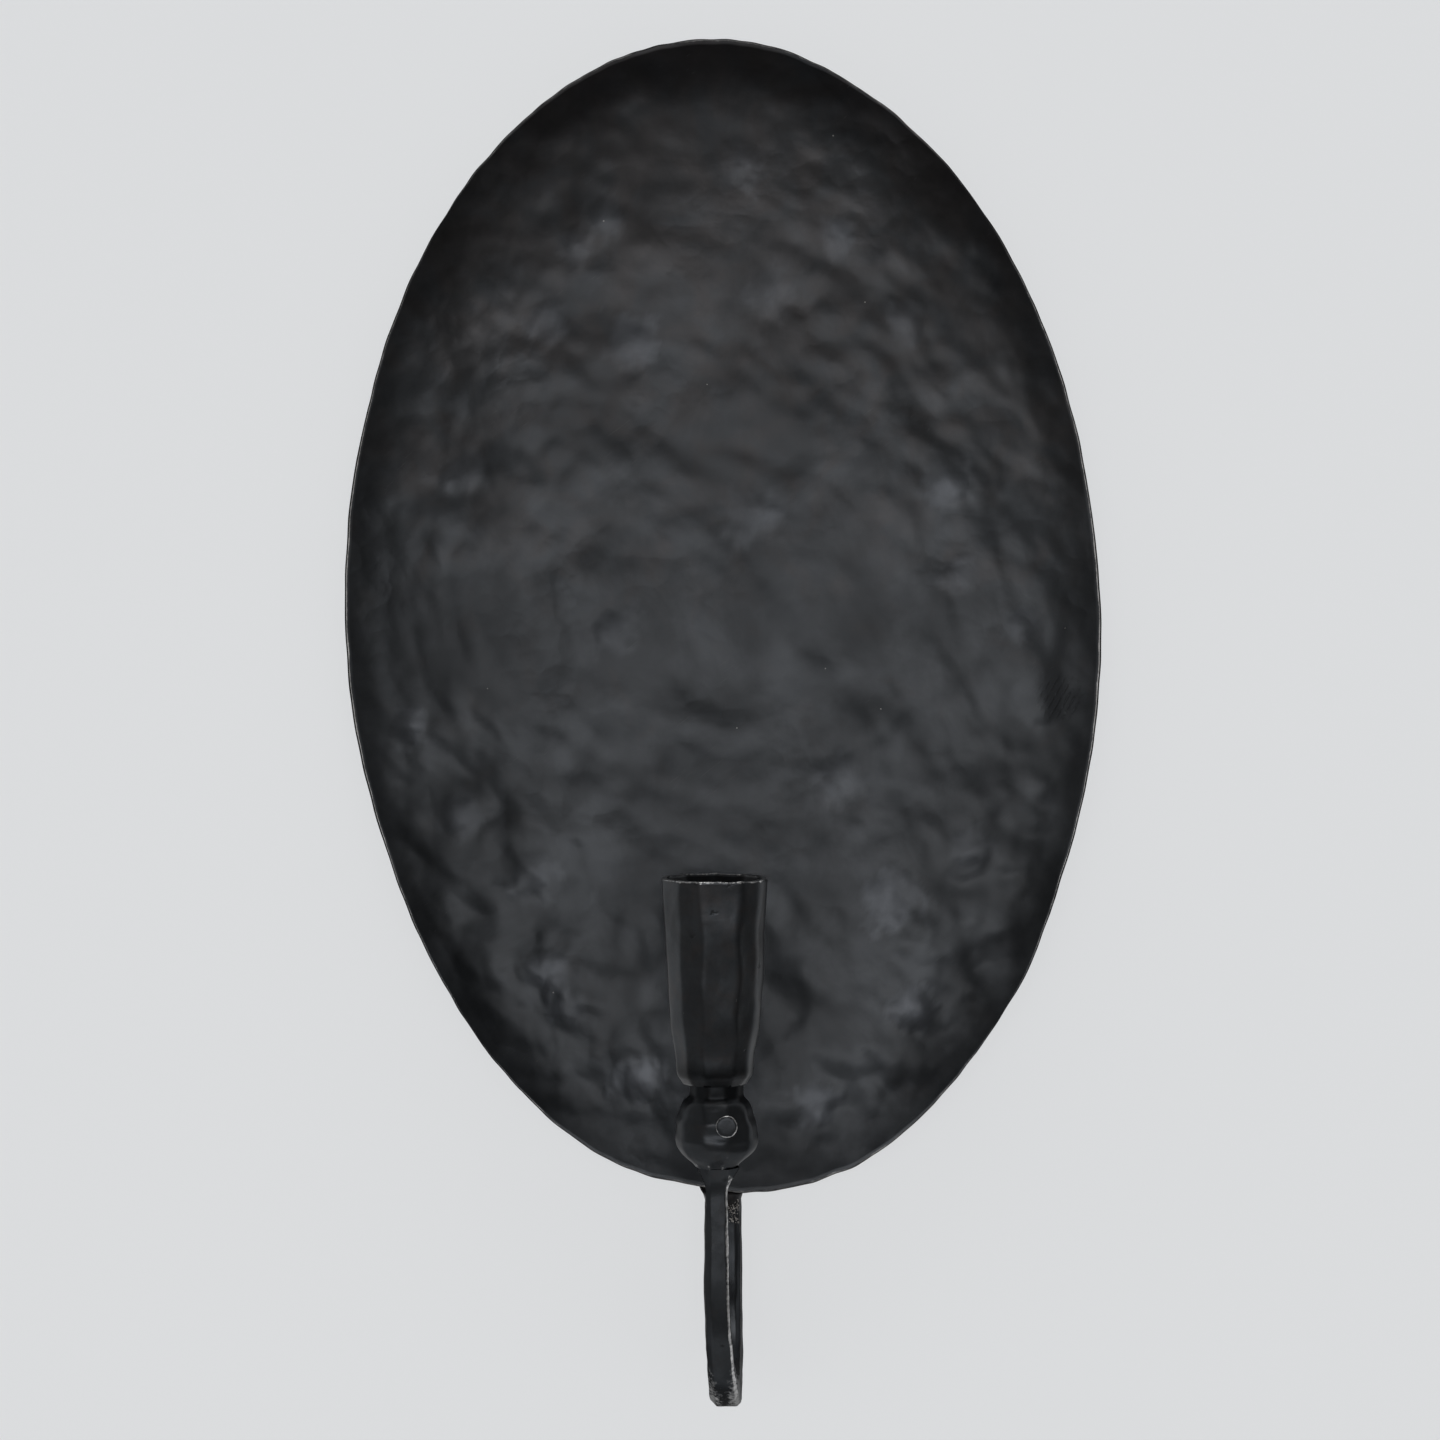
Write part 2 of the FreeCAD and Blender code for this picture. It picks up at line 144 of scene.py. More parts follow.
# Round the bend, from the leg to the stem: share of the half turn, width and side step
bend_table = (
    (0.0, 10.4 * mm, -0.05 * mm), (0.12, 10.6 * mm, 0.0 * mm), (0.22, 10.5 * mm, 0.25 * mm),
    (0.32, 9.9 * mm, 0.5 * mm), (0.42, 8.9 * mm, 0.6 * mm), (0.52, 8.2 * mm, 0.65 * mm),
    (0.64, 7.7 * mm, 0.4 * mm), (0.75, 7.2 * mm, -0.25 * mm), (0.84, 6.5 * mm, -0.9 * mm),
    (0.92, 5.9 * mm, -1.4 * mm), (1.0, 5.8 * mm, -1.65 * mm),
)
flare_shares = ((0.3, 0.14), (0.5, 0.32), (0.72, 0.60), (1.0, 1.0))
# Corners as shares of a full turn; profiles as shares of the height and of the greatest width
cup_corner_shares = (0.45, 0.555, 0.637, 0.714, 0.823, 0.908, 0.96, 0.05, 0.15, 0.25, 0.35)
ball_corner_shares = (0.0, 0.11, 0.20, 0.31, 0.40, 0.50, 0.60, 0.70, 0.79, 0.90)
cup_foot_share = 0.77
cup_profile_shares = (
    (0.0, 0.60), (0.010, 0.64), (0.045, 0.735), (0.155, cup_foot_share), (0.28, 0.86),
    (0.5, 0.935), (0.75, 0.975), (1.0, 1.0),
)
ball_profile_shares = (
    (0.0, 0.50), (0.05, 0.58), (0.10, 0.68), (0.16, 0.79), (0.22, 0.87), (0.29, 0.94), (0.42, 1.0),
    (0.70, 0.95), (0.865, 0.85), (0.955, 0.77), (1.0, 0.66),
)
foot_profile_shares = (
    (0.0, 0.30), (0.012, 0.52), (0.0, 0.66), (0.004, 0.84), (0.03, 0.96), (0.08, 1.0), (0.60, 1.0),
    (0.63, 0.93), (0.68, 0.93), (0.71, 1.0), (0.97, 1.0), (1.0, 0.97),
)

# Places that follow from the frame
stem_y = (ball_low.y + ball_high.y) / 2
ball_x = (ball_low.x + ball_high.x) / 2
cup_x = -2.4 * mm
pin_x = (pin_low.x + pin_high.x) / 2
pin_z = (pin_low.z + pin_high.z) / 2
ball_z = ball_low.z
cup_z = cup_low.z
foot_z = (bumper_low.z + bumper_high.z) / 2
foot_places_x = (bumper_low.x + bumper_radius, bumper_high.x - bumper_radius)
cup_height = cup_high.z - cup_low.z
rim_low_z = arm_high.z - palm_length
leg_y = plate_low.y + plate_sheet + leg_depth / 2
bend_radius = (leg_y - stem_y) / 2
bend_z = arm_low.z + leg_depth / 2 + bend_radius

# The photograph's camera, on its right, back and up, and how far it looks down
camera_place = (-0.9 * mm, -920 * mm, -118.8 * mm)
camera_lens = 76.8
camera_dip_degrees = 2.15


def mix(low, high, share):
    return low + (high - low) * share


def ease(low, high, value):
    """0 below low, 1 above high, and a smooth rise between them."""
    share = min(1.0, max(0.0, (value - low) / (high - low)))
    return share * share * (3 - 2 * share)


def wander(*place):
    """Steady noise between about -1 and 1 at up to three numbers."""
    return noise.noise(Vector((place + (0.37, 0.71, 0.53))[:3]))


# Node tree helpers

def feed(tree, socket, value):
    """A socket takes a link from another socket, or a plain value."""
    if isinstance(value, bpy.types.NodeSocket):
        tree.links.new(value, socket)
    else:
        socket.default_value = value


def add_node(tree, kind, settings=None, **fed):
    """One node, with its settings and with its named inputs fed; a space in a name is written as _."""
    node = tree.nodes.new(kind)
    for name, value in (settings or {}).items():
        setattr(node, name, value)
    for name, value in fed.items():
        feed(tree, node.inputs[name.replace("_", " ")], value)
    return node


def calc(tree, operation, *values):
    node = add_node(tree, "ShaderNodeMath", {"operation": operation})
    for socket, value in zip(node.inputs, values):
        feed(tree, socket, value)
    return node.outputs[0]


def vector_calc(tree, operation, first, second=None, scale=None):
    node = add_node(tree, "ShaderNodeVectorMath", {"operation": operation}, Vector=first)
    if second is not None:
        feed(tree, node.inputs[1], second)
    if scale is not None:
        feed(tree, node.inputs["Scale"], scale)
    return node.outputs["Vector"]


def spread(tree, value, from_low, from_high, to_low=0.0, to_high=1.0):
    """Maps a range smoothly onto another, held at both ends."""
    node = add_node(tree, "ShaderNodeMapRange", {"interpolation_type": "SMOOTHSTEP"}, Value=value)
    ends = (("From Min", from_low), ("From Max", from_high), ("To Min", to_low), ("To Max", to_high))
    for name, number in ends:
        feed(tree, node.inputs[name], number)
    return node.outputs[0]


def blend_colour(tree, share, first, second, blend_type="MIX"):
    node = add_node(tree, "ShaderNodeMix", {"data_type": "RGBA", "blend_type": blend_type})
    for index, value in ((0, share), (6, first), (7, second)):
        feed(tree, node.inputs[index], value)
    return node.outputs[2]


def noise_at(tree, place, width, detail=2.0, rough=0.5, distortion=0.0):
    """Noise whose blots are about as wide as the given width."""
    return add_node(tree, "ShaderNodeTexNoise", Vector=place, Detail=detail, Roughness=rough,
                    Distortion=distortion, Scale=calc(tree, "DIVIDE", 1.0, width)).outputs


def drift_at(tree, place, width, rough=0.5):
    """Noise as a push in any direction, about none on the whole."""
    return vector_calc(tree, "SUBTRACT", noise_at(tree, place, width, 3.0, rough)["Color"], (0.5, 0.5, 0.5))


def cells_at(tree, place, width, smooth=None):
    kind = {"feature": "F1" if smooth is None else "SMOOTH_F1"}
    node = add_node(tree, "ShaderNodeTexVoronoi", kind, Vector=place,
                    Scale=calc(tree, "DIVIDE", 1.0, width))
    if smooth is not None:
        feed(tree, node.inputs["Smoothness"], smooth)
    return node.outputs


def new_tree(name, kind, inputs, outputs):
    """Tree with named sockets: (name, kind, default) in, and (name, kind) out."""
    tree = bpy.data.node_groups.new(name, kind)
    for label, socket_kind, default in inputs:
        socket = tree.interface.new_socket(name=label, in_out="INPUT",
                                           socket_type="NodeSocket" + socket_kind)
        if default is not None:
            socket.default_value = default
    for label, socket_kind in outputs:
        tree.interface.new_socket(name=label, in_out="OUTPUT", socket_type="NodeSocket" + socket_kind)
    given = tree.nodes.new("NodeGroupInput").outputs
    wanted = tree.nodes.new("NodeGroupOutput").inputs
    return tree, given, wanted


def object_place(tree):
    return add_node(tree, "ShaderNodeTexCoord").outputs["Object"]


def skin_normal(tree):
    return add_node(tree, "ShaderNodeTexCoord").outputs["Normal"]


def point_value(tree, label):
    """The mesh's own value of that name at each point."""
    return add_node(tree, "ShaderNodeAttribute", {"attribute_name": label}).outputs["Fac"]


# Shader groups

def make_patina_group():
    """Uneven blackening: a cloudy drift between two tones, tinted here warm and there cool."""
    tree, given, wanted = new_tree("patina", "ShaderNodeTree", [
        ("Deep", "Color", (0.02, 0.02, 0.02, 1)), ("Pale", "Color", (0.04, 0.04, 0.04, 1)),
        ("Warm", "Color", (1.04, 0.985, 1.0, 1)), ("Cool", "Color", (0.93, 0.995, 1.08, 1)),
        ("Coolness", "Float", 0.5), ("Cloud Width", "Float", 0.03), ("Grain Width", "Float", 0.002),
    ], [("Color", "Color"), ("Cloud", "Float"), ("Grain", "Float")])
    place = object_place(tree)
    clouds = noise_at(tree, place, given["Cloud Width"], 5.0, 0.62, 0.4)["Fac"]
    tint_width = calc(tree, "MULTIPLY", given["Cloud Width"], 0.45)
    tints = noise_at(tree, place, tint_width, 2.0, 0.5, 0.8)["Color"]
    tint = add_node(tree, "ShaderNodeSeparateColor", Color=tints).outputs["Green"]
    grain = noise_at(tree, place, given["Grain Width"], 3.0, 0.7)["Fac"]
    cloud = spread(tree, clouds, 0.34, 0.68)
    tone = calc(tree, "ADD", cloud, calc(tree, "MULTIPLY", calc(tree, "SUBTRACT", grain, 0.5), 0.45))
    shade = blend_colour(tree, tone, given["Deep"], given["Pale"])
    lean = calc(tree, "SUBTRACT", calc(tree, "ADD", given["Coolness"], tint), 0.5)
    hue = blend_colour(tree, spread(tree, lean, 0.25, 0.75), given["Warm"], given["Cool"])
    feed(tree, wanted["Color"], blend_colour(tree, 1.0, shade, hue, "MULTIPLY"))
    feed(tree, wanted["Cloud"], cloud)
    feed(tree, wanted["Grain"], grain)
    return tree


def make_wear_group():
    """Arrises rubbed bare where the mesh's own wear is above 0, and blacker skin where it is below: soot on
    the arm and the welds, painted shade at the plate's rim, in and under the cup and at the ball's neck.
    """
    tree, given, wanted = new_tree("edge_wear", "ShaderNodeTree", [
        ("Amount", "Float", 0.6), ("Breakup Width", "Float", 0.004),
    ], [("Mask", "Float"), ("Soot and Shade", "Float")])
    worn = point_value(tree, "wear")
    broken = noise_at(tree, object_place(tree), given["Breakup Width"], 4.0, 0.65)["Fac"]
    uneven = calc(tree, "SUBTRACT", broken, 0.5)
    level = calc(tree, "MULTIPLY_ADD", uneven, 1.3, worn)
    mask = calc(tree, "MULTIPLY", spread(tree, level, 0.42, 0.95), given["Amount"])
    feed(tree, wanted["Mask"], calc(tree, "MINIMUM", mask, 1.0))
    black = calc(tree, "MULTIPLY_ADD", uneven, 0.35, calc(tree, "MULTIPLY", worn, -1.0))
    feed(tree, wanted["Soot and Shade"], spread(tree, black, 0.0, 1.0))
    return tree


def make_mark_group():
    """Small hammer marks: crowded shallow bowls, deep in some stretches and faint in others."""
    tree, given, wanted = new_tree("hammer_marks", "ShaderNodeTree", [
        ("Mark Width", "Float", 0.006), ("Mark Depth", "Float", 0.0001), ("Crowd Width", "Float", 0.035),
    ], [("Height", "Float")])
    place = object_place(tree)
    drift = drift_at(tree, place, calc(tree, "MULTIPLY", given["Mark Width"], 2.5))
    moved = vector_calc(tree, "ADD", place, vector_calc(tree, "SCALE", drift, scale=calc(
        tree, "MULTIPLY", given["Mark Width"], 1.3)))
    large = cells_at(tree, moved, given["Mark Width"], 0.3)["Distance"]
    small = cells_at(tree, moved, calc(tree, "MULTIPLY", given["Mark Width"], 0.42), 0.2)["Distance"]
    crowds = spread(tree, noise_at(tree, place, given["Crowd Width"], 2.0)["Fac"], 0.42, 0.66)
    bowl_share = calc(tree, "MULTIPLY_ADD", crowds, 1.3, 0.8)
    bowls = calc(tree, "MULTIPLY", calc(tree, "POWER", large, 2.0), bowl_share)
    nick_share = calc(tree, "MULTIPLY", crowds, 0.35)
    nicks = calc(tree, "MULTIPLY", calc(tree, "POWER", small, 2.0), nick_share)
    marks = calc(tree, "ADD", bowls, nicks)
    feed(tree, wanted["Height"], calc(tree, "MULTIPLY", marks, given["Mark Depth"]))
    return tree


def make_pit_group():
    """Forge scale and pits: fine grain with sparse small craters, as a height in metres."""
    tree, given, wanted = new_tree("forge_pits", "ShaderNodeTree", [
        ("Pit Width", "Float", 0.004), ("Pit Share", "Float", 0.3), ("Pit Depth", "Float", 0.00012),
        ("Grain Width", "Float", 0.0012), ("Grain Depth", "Float", 0.00004),
    ], [("Height", "Float"), ("Pits", "Float")])
    place = object_place(tree)
    drift = drift_at(tree, place, calc(tree, "MULTIPLY", given["Pit Width"], 0.8))
    drift = vector_calc(tree, "SCALE", drift, scale=calc(tree, "MULTIPLY", given["Pit Width"], 0.9))
    moved = vector_calc(tree, "MULTIPLY", vector_calc(tree, "ADD", place, drift), (0.8, 1.0, 1.25))
    cells = cells_at(tree, moved, given["Pit Width"])
    fields = noise_at(tree, place, calc(tree, "MULTIPLY", given["Pit Width"], 5.5))["Fac"]
    chance = add_node(tree, "ShaderNodeSeparateColor", Color=cells["Color"]).outputs
    limit = calc(tree, "MULTIPLY", given["Pit Share"], spread(tree, fields, 0.48, 0.66, 0.1, 2.5))
    chosen = calc(tree, "LESS_THAN", chance["Red"], limit)
    size = calc(tree, "MULTIPLY_ADD", chance["Green"], 0.24, 0.14)
    pits = calc(tree, "MULTIPLY", chosen, spread(tree, cells["Distance"], 0.02, size, 1.0, 0.0))
    grain = noise_at(tree, place, given["Grain Width"], 4.0, 0.6)["Fac"]
    height = calc(tree, "MULTIPLY_ADD", pits, calc(tree, "MULTIPLY", given["Pit Depth"], -1.0),
                  calc(tree, "MULTIPLY", grain, given["Grain Depth"]))
    feed(tree, wanted["Height"], height)
    feed(tree, wanted["Pits"], pits)
    return tree


def make_speck_group():
    """Sparse pale specks of dust, and short fine scratches that run up to the right."""
    tree, given, wanted = new_tree("specks_and_scratches", "ShaderNodeTree", [
        ("Speck Share", "Float", 0.2), ("Speck Spacing", "Float", 0.006),
        ("Speck Radius", "Float", 0.00022), ("Scratch Share", "Float", 0.5),
    ], [("Specks", "Float"), ("Scratches", "Float")])
    place = object_place(tree)
    cells = cells_at(tree, place, given["Speck Spacing"])
    chance = add_node(tree, "ShaderNodeSeparateColor", Color=cells["Color"]).outputs["Blue"]
    radius = calc(tree, "DIVIDE", given["Speck Radius"], given["Speck Spacing"])
    near = calc(tree, "LESS_THAN", cells["Distance"], radius)
    chosen = calc(tree, "LESS_THAN", chance, given["Speck Share"])
    feed(tree, wanted["Specks"], calc(tree, "MULTIPLY", near, chosen))
    turned = add_node(tree, "ShaderNodeVectorRotate", {"rotation_type": "Y_AXIS"}, Vector=place,
                      Angle=math.radians(38)).outputs[0]
    lines = vector_calc(tree, "MULTIPLY", turned, (0.06, 1.0, 1.6))
    fine = noise_at(tree, lines, 0.0006, 2.0)["Fac"]
    patches = noise_at(tree, place, 0.02, 2.0)["Fac"]
    drawn = calc(tree, "MULTIPLY", spread(tree, fine, 0.66, 0.72), spread(tree, patches, 0.56, 0.66))
    feed(tree, wanted["Scratches"], calc(tree, "MULTIPLY", drawn, given["Scratch Share"]))
    return tree


def make_tool_mark_group():
    """A small patch of short slanting strokes, left where a tool slipped."""
    tree, given, wanted = new_tree("tool_marks", "ShaderNodeTree", [
        ("Middle", "Vector", (0, 0, 0)), ("Radius", "Float", 0.008), ("Stroke Spacing", "Float", 0.0017),
    ], [("Strokes", "Float")])
    away = vector_calc(tree, "SUBTRACT", object_place(tree), given["Middle"])
    flat = vector_calc(tree, "MULTIPLY", away, (1, 0, 1))
    far = add_node(tree, "ShaderNodeVectorMath", {"operation": "LENGTH"}, Vector=flat).outputs["Value"]
    turned = add_node(tree, "ShaderNodeVectorRotate", {"rotation_type": "Y_AXIS"}, Vector=flat,
                      Angle=math.radians(-28)).outputs[0]
    axes = add_node(tree, "ShaderNodeSeparateXYZ", Vector=turned).outputs
    turns = calc(tree, "DIVIDE", calc(tree, "MULTIPLY", axes["X"], 2 * math.pi), given["Stroke Spacing"])
    wave = calc(tree, "SINE", turns)
    ragged = noise_at(tree, flat, calc(tree, "MULTIPLY", given["Radius"], 0.35), 2.0)["Fac"]
    bulge = calc(tree, "MULTIPLY", calc(tree, "SUBTRACT", ragged, 0.5), given["Radius"])
    reach = calc(tree, "DIVIDE", calc(tree, "ADD", far, bulge), given["Radius"])
    inside = spread(tree, reach, 0.5, 1.0, 1.0, 0.0)
    patch = calc(tree, "MULTIPLY", inside, spread(tree, ragged, 0.38, 0.52))
    feed(tree, wanted["Strokes"], calc(tree, "MULTIPLY", spread(tree, wave, 0.2, 0.9), patch))
    return tree


patina_group = make_patina_group()
wear_group = make_wear_group()
mark_group = make_mark_group()
pit_group = make_pit_group()
speck_group = make_speck_group()
tool_mark_group = make_tool_mark_group()


def group_node(tree, group, **fed):
    node = add_node(tree, "ShaderNodeGroup", {"node_tree": group})
    for name, value in fed.items():
        feed(tree, node.inputs[name.replace("_", " ")], value)
    return node.outputs


def grey(tone, warmth=0.0):
    """Colour of a tone, redder or bluer by a small warmth."""
    return (tone * (1 + warmth), tone, tone * (1 - warmth), 1.0)


# Painted highlight: the paler grey laid on the heavy blows where light would glint
painted_highlight_tone = (0.092, 0.097, 0.107, 1)
# Black for soot and for painted shade
soot_and_shade_tone = (0, 0, 0, 1)
pit_tone = grey(0.008)
scratch_tone = grey(0.11)
dust_tone = grey(0.22, 0.04)


def sheet_coolness(tree):
    """The plate's skin turns from warm at its top to cool at its foot."""
    height = add_node(tree, "ShaderNodeSeparateXYZ", Vector=object_place(tree)).outputs["Z"]
    return spread(tree, height, -0.20, 0.02, 0.82, 0.42)


def sheet_rim(tree):
    """Masks for the skin that turns aside at the plate's rim, and for the cut edge of its sheet, which is
    painted black as shade.
    """
    outward = vector_calc(tree, "SUBTRACT", object_place(tree), (0, 0, plate_middle_z))
    outward = vector_calc(tree, "NORMALIZE", vector_calc(tree, "MULTIPLY", outward, (1, 0, 1)))
    leaning = add_node(tree, "ShaderNodeVectorMath", {"operation": "DOT_PRODUCT"}, Vector=outward)
    feed(tree, leaning.inputs[1], skin_normal(tree))
    aside = spread(tree, leaning.outputs["Value"], -0.27, -0.05)
    rim = spread(tree, point_value(tree, "wear"), 0.5, 0.8)
    return aside, calc(tree, "MULTIPLY", aside, rim)


def front_painted_highlight(tree, cloud):
    """Mask for the painted highlights on the heavy blows, only on the side that faces the room, cloudy like
    the patina.
    """
    facing = add_node(tree, "ShaderNodeSeparateXYZ", Vector=skin_normal(tree)).outputs["Y"]
    front = spread(tree, facing, -0.1, 0.1, 1.0, 0.0)
    highlight_mask = calc(tree, "MULTIPLY", point_value(tree, "painted_highlight"), front)
    return calc(tree, "MULTIPLY", highlight_mask, calc(tree, "MULTIPLY_ADD", cloud, 0.5, 0.45))


def blackened_iron(name, deep, pale, bare, rough, wear, cloud_width, pit_share, grain_depth, metallic=1.0,
                   mark_width=6 * mm, mark_depth=0.0, coolness=0.5, speck_share=0.1, wax=0.0,
                   wear_width=4 * mm, glance=1.0, is_sheet=False):
    """Blackened, waxed iron: patina clouds, small hammer marks, pits and scale, and bare arrises.

    The sheet of the plate also has painted highlights on its heavy blows, a cut edge painted black as
    shade, and a patch of tool marks.
    """
    material = bpy.data.materials.new(name)
    material.use_nodes = True
    tree = material.node_tree
    shader = tree.nodes["Principled BSDF"]
    shader.inputs["Metallic"].default_value = metallic
    shader.inputs["Coat Roughness"].default_value = 0.26
    shader.inputs["Specular Tint"].default_value = (glance, glance, glance, 1)
    if is_sheet:
        coolness = sheet_coolness(tree)
    patina = group_node(tree, patina_group, Deep=deep, Pale=pale, Cloud_Width=cloud_width,
                        Coolness=coolness)
    edges = group_node(tree, wear_group, Amount=wear, Breakup_Width=wear_width)
    pits = group_node(tree, pit_group, Pit_Share=pit_share, Grain_Depth=grain_depth)
    specks = group_node(tree, speck_group, Speck_Share=speck_share)
    marks = group_node(tree, mark_group, Mark_Width=mark_width, Mark_Depth=mark_depth)

    worn, soot_and_shade, shade = edges["Mask"], edges["Soot and Shade"], patina["Color"]
    grain_rough = calc(tree, "MULTIPLY", patina["Grain"], 0.08)
    drift = calc(tree, "MULTIPLY_ADD", patina["Cloud"], -0.06, grain_rough)
    relief = calc(tree, "ADD", pits["Height"], marks["Height"])
    relief = calc(tree, "MULTIPLY_ADD", specks["Scratches"], -0.03 * mm, relief)
    if is_sheet:
        # The sheet's cut edge is painted black as shade, and below it also loses its metal and gloss
        aside, painted_edge_shade = sheet_rim(tree)
        worn = calc(tree, "MULTIPLY", worn, calc(tree, "SUBTRACT", 1.0, aside))
        soot_and_shade = calc(tree, "MAXIMUM", soot_and_shade, calc(tree, "MULTIPLY", painted_edge_shade, 1.4))
        # Painted highlight on the heavy blows, a paler grey on the side facing the room
        shade = blend_colour(tree, front_painted_highlight(tree, patina["Cloud"]), shade, painted_highlight_tone)
        strokes = group_node(tree, tool_mark_group, Middle=tool_mark_place)["Strokes"]
        relief = calc(tree, "MULTIPLY_ADD", strokes, -0.16 * mm, relief)
    skin_rough = calc(tree, "MULTIPLY_ADD", worn, -0.06, calc(tree, "ADD", drift, rough))
    if is_sheet:
        skin_rough = calc(tree, "MULTIPLY_ADD", painted_edge_shade, 0.5, skin_rough)
        feed(tree, shader.inputs["Metallic"], calc(tree, "MULTIPLY_ADD", painted_edge_shade, -metallic, metallic))
        shader.inputs["Specular IOR Level"].default_value = 0.15

    # Black laid in from soot and from painted shade, the plate's cut edge among it
    blackness = calc(tree, "MINIMUM", calc(tree, "MULTIPLY", soot_and_shade, 0.66), 1.0)
    shade = blend_colour(tree, blackness, shade, soot_and_shade_tone)
    shade = blend_colour(tree, calc(tree, "MULTIPLY", pits["Pits"], 0.4), shade, pit_tone)
    shade = blend_colour(tree, worn, shade, bare)
    shade = blend_colour(tree, calc(tree, "MULTIPLY", specks["Scratches"], 0.25), shade, scratch_tone)
    shade = blend_colour(tree, specks["Specks"], shade, dust_tone)
    wax_loss = calc(tree, "MINIMUM", calc(tree, "MULTIPLY", soot_and_shade, 0.8), 1.0)
    coat = calc(tree, "MULTIPLY", wax, calc(tree, "SUBTRACT", 1.0, wax_loss))
    bump = add_node(tree, "ShaderNodeBump", Height=relief, Distance=1.0, Strength=0.9)
    feed(tree, shader.inputs["Base Color"], shade)
    feed(tree, shader.inputs["Roughness"], skin_rough)
    feed(tree, shader.inputs["Coat Weight"], coat)
    feed(tree, shader.inputs["Normal"], bump.outputs["Normal"])
    return material


def make_materials():
    made = {}
    made["plate_iron"] = blackened_iron(
        "plate_iron", deep=grey(0.030), pale=grey(0.043), bare=grey(0.36, 0.03), rough=0.43, wear=1.0,
        cloud_width=30 * mm, pit_share=0.0, grain_depth=0.02 * mm, mark_width=5.5 * mm,
        mark_depth=0.13 * mm, wax=0.3, glance=0.3, is_sheet=True)
    made["forged_iron"] = blackened_iron(
        "forged_iron", deep=grey(0.029), pale=grey(0.040), bare=grey(0.64, 0.01), rough=0.35, wear=1.0,
        cloud_width=12 * mm, pit_share=0.12, grain_depth=0.03 * mm, mark_width=5 * mm,
        mark_depth=0.03 * mm, coolness=0.75, wax=0.1, wear_width=1.2 * mm, glance=0.15)
    made["cup_iron"] = blackened_iron(
        "cup_iron", deep=grey(0.033), pale=grey(0.045), bare=grey(0.5, 0.01), rough=0.31, wear=0.95,
        cloud_width=12 * mm, pit_share=0.25, grain_depth=0.03 * mm, mark_width=5 * mm,
        mark_depth=0.03 * mm, coolness=0.6, wax=0.1, wear_width=1.4 * mm)
    made["ball_iron"] = blackened_iron(
        "ball_iron", deep=grey(0.031), pale=grey(0.042), bare=grey(0.45, 0.01), rough=0.37, wear=0.95,
        cloud_width=12 * mm, pit_share=0.2, grain_depth=0.03 * mm, mark_width=5 * mm,
        mark_depth=0.03 * mm, coolness=0.7, wax=0.1, wear_width=1.2 * mm, glance=0.55)
    made["weld_metal"] = blackened_iron(
        "weld_metal", deep=grey(0.024), pale=grey(0.042, 0.03), bare=grey(0.36, 0.06), rough=0.40,
        wear=0.8, cloud_width=4 * mm, pit_share=0.3, grain_depth=0.06 * mm, metallic=0.9,
        mark_width=2.5 * mm, mark_depth=0.03 * mm, coolness=0.4, wear_width=1.5 * mm)
    made["hanger_steel"] = blackened_iron(
        "hanger_steel", deep=grey(0.085), pale=grey(0.14), bare=grey(0.32, 0.03), rough=0.40, wear=0.6,
        cloud_width=12 * mm, pit_share=0.12, grain_depth=0.02 * mm, metallic=0.9)
    made["screw_steel"] = blackened_iron(
        "screw_steel", deep=grey(0.20), pale=grey(0.32), bare=grey(0.5, 0.03), rough=0.34, wear=0.6,
        cloud_width=6 * mm, pit_share=0.05, grain_depth=0.015 * mm, metallic=0.92)
    return made


def make_rubber():
    """Matt black rubber with a fine moulded grain and a little grey dust."""
    material = bpy.data.materials.new("bumper_rubber")
    material.use_nodes = True
    tree = material.node_tree
    shader = tree.nodes["Principled BSDF"]
    patina = group_node(tree, patina_group, Deep=grey(0.022), Pale=grey(0.06, 0.02), Cloud_Width=8 * mm,
                        Grain_Width=0.8 * mm)
    feed(tree, shader.inputs["Base Color"], patina["Color"])
    feed(tree, shader.inputs["Roughness"], spread(tree, patina["Grain"], 0.2, 0.8, 0.72, 0.9))
    pits = group_node(tree, pit_group, Pit_Share=0.1, Grain_Depth=0.03 * mm, Grain_Width=0.5 * mm)
    bump = add_node(tree, "ShaderNodeBump", Height=pits["Height"], Distance=1.0, Strength=0.6)
    feed(tree, shader.inputs["Normal"], bump.outputs["Normal"])
    return material


materials = make_materials()
materials["bumper_rubber"] = make_rubber()


# Geometry trees

def close_tree(tree, given, wanted, geometry):
    """Smooth shading, real geometry and the material end every tree."""
    smooth = add_node(tree, "GeometryNodeSetShadeSmooth", Geometry=geometry).outputs[0]
    real = add_node(tree, "GeometryNodeRealizeInstances", Geometry=smooth).outputs[0]
    dressed = add_node(tree, "GeometryNodeSetMaterial", Geometry=real, Material=given["Material"])
    feed(tree, wanted["Geometry"], dressed.outputs[0])
    return tree


